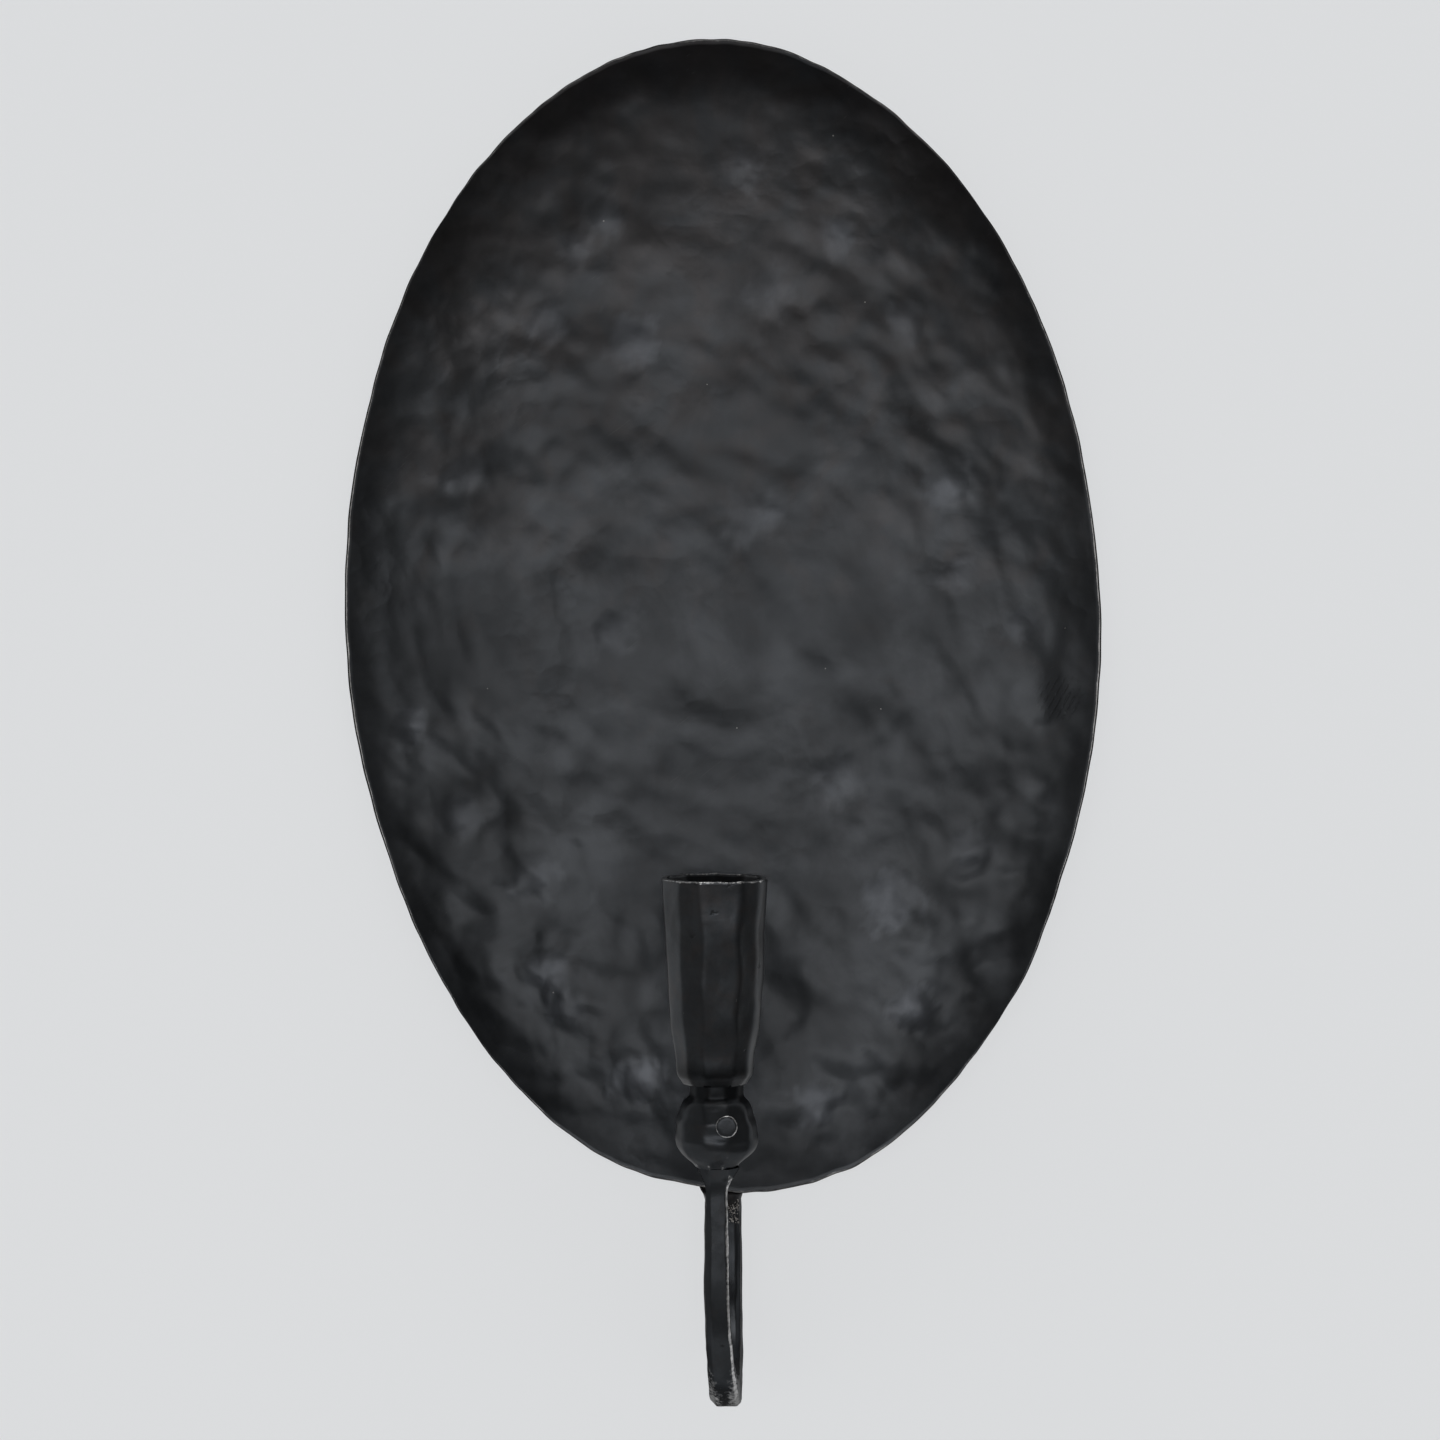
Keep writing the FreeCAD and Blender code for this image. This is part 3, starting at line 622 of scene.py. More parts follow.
def make_hammer_tree():
    """Hammer blows on a skin: overlapping shallow bowls on a slow sway, pushed along the skin's normal.

    The point attribute give says how far the metal moves, from 0 to 1. Turn and stretch lay the
    blows along a slant; with a ring share of 1 the slant is mirrored in every quarter, so that the
    blows run round the ring middle.
    """
    tree, given, wanted = new_tree("hammer_blows", "GeometryNodeTree", [
        ("Geometry", "Geometry", None), ("Blow Width", "Float", 0.014), ("Blow Depth", "Float", 0.0003),
        ("Crispness", "Float", 0.5), ("Sway Width", "Float", 0.06), ("Sway Depth", "Float", 0.0008),
        ("Turn", "Float", 0.0), ("Stretch", "Vector", (1, 1, 1)), ("Seed", "Float", 1.0),
        ("Ring Share", "Float", 0.0), ("Ring Middle", "Vector", (0, 0, 0)), ("Ring Ease", "Float", 0.03),
        ("Material", "Material", None),
    ], [("Geometry", "Geometry")])
    place = add_node(tree, "GeometryNodeInputPosition").outputs[0]
    away = add_node(tree, "ShaderNodeSeparateXYZ",
                    Vector=vector_calc(tree, "SUBTRACT", place, given["Ring Middle"])).outputs
    square = calc(tree, "MULTIPLY", given["Ring Ease"], given["Ring Ease"])
    aside = calc(tree, "SQRT", calc(tree, "MULTIPLY_ADD", away["X"], away["X"], square))
    above = calc(tree, "SQRT", calc(tree, "MULTIPLY_ADD", away["Z"], away["Z"], square))
    depth_step = calc(tree, "MULTIPLY_ADD", away["X"], 0.62, calc(tree, "MULTIPLY", away["Z"], 0.41))
    ringed = add_node(tree, "ShaderNodeCombineXYZ", X=calc(tree, "MULTIPLY", aside, -1.0), Y=depth_step,
                      Z=above).outputs[0]
    change = vector_calc(tree, "SUBTRACT", ringed, place)
    place = vector_calc(tree, "ADD", place, vector_calc(tree, "SCALE", change, scale=given["Ring Share"]))
    give = add_node(tree, "GeometryNodeInputNamedAttribute", {"data_type": "FLOAT"}, Name="give").outputs[0]
    moved = add_node(tree, "ShaderNodeVectorRotate", {"rotation_type": "Y_AXIS"}, Vector=place,
                     Angle=given["Turn"]).outputs[0]
    moved = vector_calc(tree, "MULTIPLY", moved, given["Stretch"])
    seeded = vector_calc(tree, "SCALE", (1.7, 0.9, 2.3), scale=given["Seed"])
    moved = vector_calc(tree, "ADD", moved, seeded)
    sway = noise_at(tree, moved, given["Sway Width"], 2.0, 0.45)
    drift = drift_at(tree, moved, calc(tree, "MULTIPLY", given["Blow Width"], 2.2), 0.55)
    warped = vector_calc(tree, "ADD", moved, vector_calc(
        tree, "SCALE", drift, scale=calc(tree, "MULTIPLY", given["Blow Width"], 1.1)))
    bowls = 0.0
    for size, depth in ((1.0, 1.0), (0.52, 0.27)):
        width = calc(tree, "MULTIPLY", given["Blow Width"], size)
        cells = cells_at(tree, warped, width, calc(tree, "SUBTRACT", 1.0, given["Crispness"]))
        bowl = calc(tree, "SUBTRACT", 0.22, calc(tree, "POWER", cells["Distance"], 2.0))
        bowls = calc(tree, "MULTIPLY_ADD", bowl, depth, bowls)
    slow = calc(tree, "SUBTRACT", sway["Fac"], 0.5)
    push = calc(tree, "MULTIPLY_ADD", bowls, calc(tree, "MULTIPLY", given["Blow Depth"], 2.2),
                calc(tree, "MULTIPLY", slow, calc(tree, "MULTIPLY", given["Sway Depth"], 4.0)))
    push = calc(tree, "MULTIPLY", calc(tree, "MULTIPLY", push, give), -1.0)
    normal = add_node(tree, "GeometryNodeInputNormal").outputs[0]
    beaten = add_node(tree, "GeometryNodeSetPosition", Geometry=given["Geometry"],
                      Offset=vector_calc(tree, "SCALE", normal, scale=push)).outputs[0]
    return close_tree(tree, given, wanted, beaten)


def make_bead_tree():
    """Weld bead: a round bar along a line, swollen by each ripple of the pool, lumpy, thin at its ends."""
    tree, given, wanted = new_tree("weld_bead", "GeometryNodeTree", [
        ("Geometry", "Geometry", None), ("Start", "Vector", (0, 0, 0)), ("End", "Vector", (0, 0, 0.01)),
        ("Radius", "Float", 0.0015), ("Ripple Width", "Float", 0.0016), ("Lump Depth", "Float", 0.0005),
        ("Seed", "Float", 1.0), ("Material", "Material", None),
    ], [("Geometry", "Geometry")])
    line = add_node(tree, "GeometryNodeCurvePrimitiveLine", Start=given["Start"], End=given["End"])
    line = add_node(tree, "GeometryNodeResampleCurve", Curve=line.outputs[0], Count=64).outputs[0]
    along = add_node(tree, "GeometryNodeSplineParameter").outputs
    turns = calc(tree, "DIVIDE", along["Length"], given["Ripple Width"])
    ripple = calc(tree, "MULTIPLY", calc(tree, "POWER", calc(tree, "FRACT", turns), 1.6), 0.14)
    nearest_end = calc(tree, "MINIMUM", along["Factor"], calc(tree, "SUBTRACT", 1.0, along["Factor"]))
    ends = spread(tree, nearest_end, 0.0, 0.12, 0.3, 1.0)
    radius = calc(tree, "MULTIPLY", ends, given["Radius"])
    girth = calc(tree, "MULTIPLY", calc(tree, "ADD", 0.88, ripple), radius)
    ring = add_node(tree, "GeometryNodeCurvePrimitiveCircle", Resolution=20, Radius=1.0).outputs[0]
    bar = add_node(tree, "GeometryNodeCurveToMesh", Curve=line, Profile_Curve=ring, Scale=girth,
                   Fill_Caps=True)
    place = add_node(tree, "GeometryNodeInputPosition").outputs[0]
    seeded = vector_calc(tree, "SCALE", (0.31, 0.17, 0.23), scale=given["Seed"])
    place = vector_calc(tree, "ADD", place, seeded)
    lumps = drift_at(tree, place, calc(tree, "MULTIPLY", given["Radius"], 1.6))
    shift = vector_calc(tree, "SCALE", lumps, scale=calc(tree, "MULTIPLY", given["Lump Depth"], 2.0))
    lumpy = add_node(tree, "GeometryNodeSetPosition", Geometry=bar.outputs[0], Offset=shift).outputs[0]
    return close_tree(tree, given, wanted, lumpy)


def make_spatter_tree():
    """Weld spatter: small frozen drops of random size, strewn over a low box."""
    tree, given, wanted = new_tree("weld_spatter", "GeometryNodeTree", [
        ("Geometry", "Geometry", None), ("Low", "Vector", (0, 0, 0)),
        ("High", "Vector", (0.01, 0.01, 0.01)), ("Drops", "Int", 20), ("Drop Radius", "Float", 0.0003),
        ("Seed", "Int", 3), ("Material", "Material", None),
    ], [("Geometry", "Geometry")])
    line = add_node(tree, "GeometryNodeMeshLine", Count=given["Drops"]).outputs[0]
    index = add_node(tree, "GeometryNodeInputIndex").outputs[0]
    where = add_node(tree, "FunctionNodeRandomValue", {"data_type": "FLOAT_VECTOR"}, ID=index,
                     Seed=given["Seed"])
    feed(tree, where.inputs[0], given["Low"])
    feed(tree, where.inputs[1], given["High"])
    strewn = add_node(tree, "GeometryNodeSetPosition", Geometry=line, Position=where.outputs[0]).outputs[0]
    drop = add_node(tree, "GeometryNodeMeshIcoSphere", Radius=given["Drop Radius"], Subdivisions=3)
    drop = add_node(tree, "GeometryNodeStoreNamedAttribute", {"data_type": "FLOAT", "domain": "POINT"},
                    Geometry=drop.outputs[0], Name="wear", Value=0.9).outputs[0]
    size = add_node(tree, "FunctionNodeRandomValue", {"data_type": "FLOAT"}, ID=index, Seed=given["Seed"])
    feed(tree, size.inputs[2], 0.45)
    feed(tree, size.inputs[3], 1.3)
    drops = add_node(tree, "GeometryNodeInstanceOnPoints", Points=strewn, Instance=drop,
                     Scale=size.outputs[1]).outputs[0]
    return close_tree(tree, given, wanted, drops)


hammer_tree = make_hammer_tree()
bead_tree = make_bead_tree()
spatter_tree = make_spatter_tree()


# Mesh helpers

def add_object(name, mesh):
    piece = bpy.data.objects.new(name, mesh)
    bpy.context.scene.collection.objects.link(piece)
    return piece


def new_mesh(name, points, faces, give=None, wear=None, painted_highlight=None):
    mesh = bpy.data.meshes.new(name)
    mesh.from_pydata(points, [], faces)
    mesh.polygons.foreach_set("use_smooth", [True] * len(mesh.polygons))
    # Wear above 0 is rubbed metal and below 0 blackens, as soot on some pieces and as painted shade on
    # others; the last attribute holds painted highlight
    for label, values in (("give", give), ("wear", wear), ("painted_highlight", painted_highlight)):
        layer = mesh.attributes.new(label, "FLOAT", "POINT")
        layer.data.foreach_set("value", values or [0.0] * len(points))
    return mesh


def ring_mesh(name, rings):
    """Closed skin through rings of (point, give, wear), with a fan over the first and the last ring."""
    points, give, wear, faces = [], [], [], []
    around = len(rings[0])
    for ring in rings:
        for point, moves, worn in ring:
            points.append(point)
            give.append(moves)
            wear.append(worn)
    for i in range(len(rings) - 1):
        for j in range(around):
            k = (j + 1) % around
            faces.append((i * around + j, i * around + k, (i + 1) * around + k, (i + 1) * around + j))
    for i, turned in ((0, True), (len(rings) - 1, False)):
        middle = sum((point for point, _, _ in rings[i]), Vector()) / around
        points.append(middle)
        give.append(0.0)
        wear.append(0.0)
        for j in range(around):
            k = (j + 1) % around
            pair = (i * around + k, i * around + j) if turned else (i * around + j, i * around + k)
            faces.append(pair + (len(points) - 1,))
    return new_mesh(name, points, faces, give, wear)


def bake_modifiers(piece):
    """The finished mesh replaces the piece's mesh, and its modifiers go."""
    bpy.context.view_layer.update()
    graph = bpy.context.evaluated_depsgraph_get()
    done = bpy.data.meshes.new_from_object(piece.evaluated_get(graph), preserve_all_data_layers=True,
                                           depsgraph=graph)
    piece.modifiers.clear()
    piece.data = done
    return piece


def run_tree(piece, tree, **values):
    """Geometry tree on a piece; its inputs are set by socket identifier before it is evaluated."""
    step = piece.modifiers.new(tree.name, "NODES")
    step.node_group = tree
    names = {item.name: item.identifier for item in tree.interface.items_tree if item.in_out == "INPUT"}
    for label, value in values.items():
        step[names[label.replace("_", " ")]] = value
    return piece


def face_outwards(mesh):
    skin = bmesh.new()
    skin.from_mesh(mesh)
    bmesh.ops.recalc_face_normals(skin, faces=skin.faces)
    skin.to_mesh(mesh)
    skin.free()


def finish_piece(piece, slot, *nodes):
    face_outwards(piece.data)
    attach(piece, body)
    if nodes:
        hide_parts(*nodes)
    return piece


def crisp_seats(piece):
    """Keeps the flat ends and seats of a turned or forged piece from shading into its sides."""
    piece.data.set_sharp_from_angle(angle=math.radians(55))
    return piece


def joined_piece(name, parts, slot, *nodes):
    """One piece from several finished ones."""
    skin = bmesh.new()
    for part in parts:
        skin.from_mesh(part.data)
        bpy.data.objects.remove(part)
    mesh = bpy.data.meshes.new(name)
    skin.to_mesh(mesh)
    skin.free()
    mesh.materials.append(materials[slot])
    return finish_piece(add_object(name, mesh), slot, *nodes)


def curve_at(stations, run):
    """Point on the smooth line through stations of numbers, at a run counted in stations."""
    last = len(stations) - 1
    i = min(int(run), last - 1)
    t = run - i
    rows = [stations[min(max(k, 0), last)] for k in (i - 1, i, i + 1, i + 2)]
    value = []
    for a, b, c, d in zip(*rows):
        value.append(b + 0.5 * t * (c - a + t * (2 * a - 5 * b + 4 * c - d + t * (3 * (b - c) + d - a))))
    return value


def profile_at(shares, rise, near):
    """Width share at a height share: straight runs with their corners eased over a short height."""
    def straight(place):
        for (low, a), (high, b) in zip(shares, shares[1:]):
            if place <= high:
                return mix(a, b, max(0.0, (place - low) / (high - low)))
        return shares[-1][1]
    return (straight(rise - near) + 2 * straight(rise) + straight(rise + near)) / 4


def flats_from_corners(corners):
    """(direction, distance) of each flat of a many-sided ring whose corners lie on a circle of radius 1."""
    flats = []
    ordered = sorted(corner % 1 for corner in corners)
    for low, high in zip(ordered, ordered[1:] + [ordered[0] + 1]):
        flats.append((math.pi * (low + high), math.cos(math.pi * (high - low))))
    return flats


def flat_reach(angle, flats, crisp, chosen=0):
    """How far a softened many-sided outline reaches at an angle, how near that is to an arris, and
    how far it lies on the chosen flat."""
    terms = []
    for direction, distance in flats:
        facing = math.cos(angle - direction) / distance
        terms.append(max(0.0, facing) ** crisp)
    total = sum(terms)
    return total ** (-1 / crisp), min(1.0, 2 * (1 - max(terms) / total)), terms[chosen] / total


def softened_copy(node, name, slot, width):
    """The frame's own piece, its triangles merged and its edges eased."""
    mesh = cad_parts[node].data.copy()
    mesh.materials.clear()
    skin = bmesh.new()
    skin.from_mesh(mesh)
    bmesh.ops.remove_doubles(skin, verts=skin.verts, dist=0.002 * mm)
    bmesh.ops.dissolve_limit(skin, angle_limit=math.radians(1), verts=skin.verts, edges=skin.edges)
    skin.to_mesh(mesh)
    skin.free()
    mesh.materials.append(materials[slot])
    piece = add_object(name, mesh)
    eased = piece.modifiers.new("eased_edges", "BEVEL")
    eased.width = width
    eased.segments = 2
    eased.limit_method = "ANGLE"
    eased.angle_limit = math.radians(35)
    bake_modifiers(piece)
    piece.data.polygons.foreach_set("use_smooth", [True] * len(piece.data.polygons))
    piece.data.set_sharp_from_angle(angle=math.radians(40))
    return finish_piece(piece, slot, node)


# Back plate

def rim_reach(turn):
    reach = 1.0
    for place, width, push in rim_push_shares:
        away = abs((turn - place + 0.5) % 1 - 0.5)
        reach += push * math.exp(-(away / width) ** 2)
    return reach


def dish_front(reach):
    return -rim_stand + dish_depth * (1 - reach ** dish_power_share)


def plate_back(x, z):
    """Y of the plate's wall side at a place seen from the room."""
    up = z - plate_middle_z
    across = (x * math.cos(plate_lean) + up * math.sin(plate_lean)) / plate_half_width
    along = (up * math.cos(plate_lean) - x * math.sin(plate_lean)) / plate_half_height
    return dish_front(math.hypot(across, along)) + plate_sheet


def on_plate_back(z, off):
    step = plate_sheet / 10
    slope = (plate_back(0, z + step) - plate_back(0, z - step)) / (2 * step)
    away = (off + seat_gap) / math.hypot(1, slope)
    return plate_back(0, z) + away, z - away * slope


def blow_raggedness(x, z, blow_x):
    """How far a heavy blow's edge strays at a place, as a factor near 1 on the distance."""
    coarse = wander(x * blow_edge_coarse, z * blow_edge_coarse, blow_x * 0.05)
    fine = wander(x * blow_edge_fine, z * blow_edge_fine, blow_x * 0.05)
    return 1 + 0.5 * coarse + 0.3 * fine


def plate_point(u, v):
    """Point of the hollow face for a place on a square that is mapped onto the oval."""
    right = u * math.sqrt(1 - v * v / 2)
    up = v * math.sqrt(1 - u * u / 2)
    reach = min(1.0, math.hypot(right, up))
    angle = math.atan2(up, right)
    turn = (angle / (2 * math.pi)) % 1
    outline = rim_reach(turn)
    run = plate_half_height * math.cos(angle), plate_half_height * math.sin(angle)
    outline += rim_ripple / plate_half_width * wander(run[0] / rim_ripple_run, run[1] / rim_ripple_run, 4.1)
    size = reach * mix(1.0, outline, reach ** 5)
    across = size * plate_half_width * math.cos(angle)
    along = size * plate_half_height * math.sin(angle)
    x = across * math.cos(plate_lean) - along * math.sin(plate_lean)
    z = across * math.sin(plate_lean) + along * math.cos(plate_lean) + plate_middle_z
    y = dish_front(reach)
    # Each heavy blow carries a share of painted highlight besides its depth
    painted_highlight = 0.0
    for blow_x, blow_z, radius, depth, highlight_share in heavy_blows:
        away = math.hypot(x - blow_x * mm, z - blow_z * mm) / (radius * mm) * blow_raggedness(x, z, blow_x)
        fall = max(0.0, 1 - away * away)
        y += depth * mm * fall * fall
        painted_highlight = max(painted_highlight, highlight_share * fall)
    return Vector((x, y, z)), reach, painted_highlight


def plate_give(x, z):
    """The sheet stays nearly smooth where the hanger, the palm and the two rubber feet sit on its back."""
    held = 0.0
    for low, high in ((hanger_low.z, hanger_high.z), (rim_low_z, arm_high.z)):
        beyond = max(0.0, low - z, z - high)
        held = max(held, math.exp(-(math.hypot(x, beyond) / weld_calm_reach) ** 2))
    for foot_x in foot_places_x:
        held = max(held, 1.5 * math.exp(-(math.hypot(x - foot_x, z - foot_z) / foot_calm_reach) ** 2))
    return 1 - 0.6 * held


def rim_painted_shade(point):
    """Painted shade on the rim band, where the turned-up dish would reflect the dark room: blackest at the
    top and on the shoulders, and less so at the sides and the foot.
    """
    angle = math.atan2(point.z - plate_middle_z, point.x * plate_half_height / plate_half_width)
    return 0.95 - 0.5 * math.cos(angle) ** 4 - 0.45 * max(0.0, -math.sin(angle)) ** 6


def make_plate():
    points, give, wear, painted_highlight, faces = [], [], [], [], []
    for i in range(plate_grid + 1):
        for j in range(plate_grid + 1):
            point, reach, highlight_share = plate_point(2 * i / plate_grid - 1, 2 * j / plate_grid - 1)
            points.append(point)
            give.append(plate_give(point.x, point.z) * mix(1.0, 0.4, ease(0.9, 1.0, reach)))
            # The outermost ring is rubbed bare; inside it a band of painted shade darkens the rim
            wear.append(1.0 if reach > 0.9999 else -rim_painted_shade(point) * ease(0.83, 0.98, reach))
            painted_highlight.append(highlight_share)
    for i in range(plate_grid):
        for j in range(plate_grid):
            a = i * (plate_grid + 1) + j
            b = a + plate_grid + 1
            faces.append((a, b, b + 1, a + 1))
    piece = add_object("hammered_plate", new_mesh("hammered_plate", points, faces, give, wear, painted_highlight))
    run_tree(piece, hammer_tree, Blow_Width=9.5 * mm, Blow_Depth=0.34 * mm, Crispness=0.3,
             Sway_Width=30 * mm, Sway_Depth=1.0 * mm, Turn=math.radians(25), Stretch=(0.9, 1.0, 1.05),
             Seed=3.0, Ring_Share=1.0, Ring_Middle=(-4 * mm, 0, plate_middle_z), Ring_Ease=25 * mm,
             Material=materials["plate_iron"])
    wall = piece.modifiers.new("sheet", "SOLIDIFY")
    wall.thickness = plate_sheet
    wall.offset = -1.0
    rim = piece.modifiers.new("rim", "BEVEL")
    rim.width = rim_round
    rim.segments = 3
    rim.limit_method = "ANGLE"
    rim.angle_limit = math.radians(50)
    bake_modifiers(piece)
    return finish_piece(piece, "plate_iron", "back_plate")


# Arm

def arm_stations():
    """(x, y, z, width, depth, scale) down the palm and the leg, round the bend and up the stem.

    Scale above 0 says how rough and pale the bar's skin is, as at the foot of the bend; below 0 it
    says how round the section has become, as in the flare.
    """
    stations = []
    for down, spread_share, thicken in palm_station_shares:
        z = rim_low_z + palm_length * (1 - down)
        edge_width = palm_tip_width if down < 0.5 else leg_width
        width = mix(edge_width, palm_width, spread_share)
        depth = mix(palm_thick, leg_depth, thicken)
        y, z = on_plate_back(z, depth / 2)
        stations.append((0, y, z, width, depth, 0))
    stations.append((0, leg_y, mix(rim_low_z, bend_z, 0.35), leg_width, leg_depth, 0))
    for share, width, x in bend_table:
        angle = math.pi * share
        y = leg_y - bend_radius + bend_radius * math.cos(angle)
        z = bend_z - bend_radius * math.sin(angle)
        bare = math.exp(-((share - 0.66) / 0.2) ** 2)
        stations.append((x, y, z, width, mix(leg_depth, stem_top_depth, share ** 3 / 2), bare))
    for share in (0.3, 0.6, 0.8, 1.0):
        z = mix(bend_z, ball_z - flare_height, share)
        depth = mix(mix(leg_depth, stem_top_depth, 0.5), stem_top_depth, share)
        stations.append((mix(x, ball_x, share), stem_y, z, mix(width, stem_top_width, share), depth, 0))
    for share, swell in flare_shares:
        z = mix(ball_z - flare_height, ball_z, share)
        stations.append((ball_x + 0.4 * mm * swell, stem_y, z, mix(stem_top_width, flare_width, swell),
                         mix(stem_top_depth, flare_width, swell), -swell))
    return stations


def section_flats(width, depth):
    """Distances of a bar's four faces and four chamfers from its middle, in turn round the bar."""
    distances = []
    for k in range(8):
        chamfer = arris_chamfer_shares[k // 2] * min(width, depth)
        slant = (width / 2 + depth / 2 - chamfer) / math.sqrt(2)
        distances.append((width / 2, slant, depth / 2, slant)[k % 4])
    return distances


def arm_ring(middle, along, station, run, around, round_share, give):
    """Forged section: four faces and four arrises that wander along the bar."""
    across = Vector((1, 0, 0))
    out = along.cross(across).normalized()
    width, depth, bare = station
    round_radius = min(width, depth) / 2
    flats = []
    for k, distance in enumerate(section_flats(width, depth)):
        short_marks = 0.030 * wander(k * 3.7, run / (6.5 * mm))
        long_marks = 0.022 * wander(k * 5.1, run / (15 * mm), 8.3)
        turned = side_face_turns.get(k, 0)
        marked = distance * (1 + (short_marks + long_marks))
        flats.append((math.radians(k * 45 + turned), mix(marked, round_radius, round_share)))
    ring = []
    for j in range(around):
        angle = 2 * math.pi * j / around
        reach, worn, crisp_chamfer = flat_reach(angle, flats, 60, crisp_arris)
        point = middle + across * (reach * math.cos(angle)) + out * (reach * math.sin(angle))
        worn = max(0.2 * worn - 0.55, 0.8 * ease(0.5, 0.95, crisp_chamfer)) * (1 - round_share)
        outer = ease(-0.1, 0.8, -math.sin(angle))
        sides = abs(math.cos(angle))
        patch = outer * mix(0.5, 1.0, sides) * max(0.0, bare) ** mix(2.0, 0.5, sides)
        ring.append((point, give, max(worn, 1.1 * patch - 0.15)))
    return ring


def make_arm():
    stations = arm_stations()
    around = 88
    step = 0.9 * mm
    runs = []
    for i in range(len(stations) - 1):
        gap = (Vector(stations[i + 1][:3]) - Vector(stations[i][:3])).length
        pieces = max(2, round(gap / step))
        runs += [i + k / pieces for k in range(pieces)]
    runs.append(len(stations) - 1)
    rings = []
    travelled = 0.0
    before = None
    for run in runs:
        x, y, z, width, depth, bare = curve_at(stations, run)
        middle = Vector((x, y, z))
        travelled += (middle - before).length if before else 0.0
        before = middle
        ahead = Vector(curve_at(stations, min(run + 0.05, len(stations) - 1))[:3])
        behind = Vector(curve_at(stations, max(run - 0.05, 0))[:3])
        along = (ahead - behind).normalized()
        give = 0.3 if run < len(palm_station_shares) else 1.0
        roundness = 0.8 * min(1.0, max(0.0, -bare))
        rings.append(arm_ring(middle, along, (width, depth, bare), travelled, around, roundness, give))
    tenon = (2 * tenon_radius, 2 * tenon_radius, 0)
    for z in (ball_z + seat_gap, pin_high.z + 0.5 * mm):
        middle = Vector((ball_x, stem_y, z))
        rings.append(arm_ring(middle, Vector((0, 0, 1)), tenon, 0.0, around, 1.0, 0.0))
    piece = add_object("forged_arm", ring_mesh("forged_arm", rings))
    run_tree(piece, hammer_tree, Blow_Width=7 * mm, Blow_Depth=0.20 * mm, Crispness=0.6,
             Sway_Width=22 * mm, Sway_Depth=0.10 * mm, Stretch=(1.0, 1.0, 0.6), Seed=11.0,
             Material=materials["forged_iron"])
    crisp_seats(bake_modifiers(piece))
    return finish_piece(piece, "forged_iron", "arm")


# Ball and pin

def facet_ring(middle, radius, flats, rise, crisp, around, give, wear_share, jitter):
    """Faceted ring; a wear share below 0 blackens the whole ring instead of baring its arrises."""
    ring = []
    marked = []
    for k, (direction, distance) in enumerate(flats):
        marked.append((direction + 0.10 * jitter * wander(k * 2.9, rise * 3.1, 1.7),
                       distance * (1 + 0.05 * jitter * wander(k * 4.3, rise * 4.7, 6.1))))
    for j in range(around):
        angle = 2 * math.pi * j / around
        reach, worn, _ = flat_reach(angle, marked, crisp)
        point = middle + Vector((math.cos(angle), math.sin(angle), 0)) * (reach * radius)
        ring.append((point, give, worn * wear_share if wear_share > 0 else wear_share))
    return ring


def make_ball():
    flats = flats_from_corners(ball_corner_shares)
    around, high = 104, 66
    top_share = (ball_high.z - ball_z) / ball_height
    neck_share = neck_width / ball_width
    profile = ball_profile_shares + ((1.05, neck_share * 0.99), (top_share, neck_share))
    rings = []
    for i in range(high + 1):
        rise = top_share * i / high
        radius = profile_at(profile, rise, 0.03) * ball_width / 2
        in_ball = 1 - ease(0.9, 1.05, rise)
        middle = Vector((ball_x, stem_y, ball_z + rise * ball_height))
        eased = [(angle, mix(1.0, distance, mix(0.3, 0.85, in_ball))) for angle, distance in flats]
        give = mix(0.2, 1.0, in_ball) * ease(0.0, 0.08, rise)
        rubbed = 0.4 * (1 - ease(0.2, 0.5, rise))
        ring = facet_ring(middle, radius, eased, rise, 34, around, give, rubbed, 1.0)
        # More rubbed wear on the ball's lower arrises; the neck under the cup is painted dark as shade
        change = 0.25 * (1 - ease(0.02, 0.14, rise)) - 0.75 * ease(0.97, 1.04, rise)
        rings.append([(point, moves, worn + change) for point, moves, worn in ring])
    piece = add_object("pinned_ball", ring_mesh("pinned_ball", rings))
    run_tree(piece, hammer_tree, Blow_Width=8 * mm, Blow_Depth=0.24 * mm, Crispness=0.7,
             Sway_Width=16 * mm, Sway_Depth=0.14 * mm, Seed=5.0, Material=materials["ball_iron"])
    crisp_seats(bake_modifiers(piece))
    return finish_piece(piece, "forged_iron", "ball")


def make_pin():
    """Cross pin: a round bar right through the ball with both ends hammered over to flat domes."""
    around = 64
    depth = pin_high.y - pin_low.y
    half_profile = ((0.0, 0.60), (0.003, 0.86), (0.010, 1.0), (0.020, 1.06), (0.032, 1.07), (0.05, 1.0))
    profile = half_profile + tuple((1 - share, girth) for share, girth in half_profile[::-1])
    rings = []
    for share, girth in profile:
        ring = []
        for j in range(around):
            angle = 2 * math.pi * j / around
            lumps = 1 + 0.06 * wander(math.cos(angle) * 1.3, math.sin(angle) * 1.3, share * 2)
            reach = pin_radius * girth * lumps
            point = Vector((pin_x + reach * math.cos(angle), pin_low.y + share * depth,
                            pin_z + reach * math.sin(angle)))
            point.x += pin_lean * (1 - share)
            rubbed = girth > 0.95 and min(share, 1 - share) < 0.03
            ring.append((point, 0.5, 0.75 if rubbed else 0.1))
        rings.append(ring)
    piece = add_object("cross_pin", ring_mesh("cross_pin", rings))
    run_tree(piece, hammer_tree, Blow_Width=3.2 * mm, Blow_Depth=0.10 * mm, Crispness=0.6,
             Sway_Width=9 * mm, Sway_Depth=0.05 * mm, Seed=8.0, Material=materials["forged_iron"])
    crisp_seats(bake_modifiers(piece))
    return finish_piece(piece, "forged_iron", "ball_pin")


# Cup

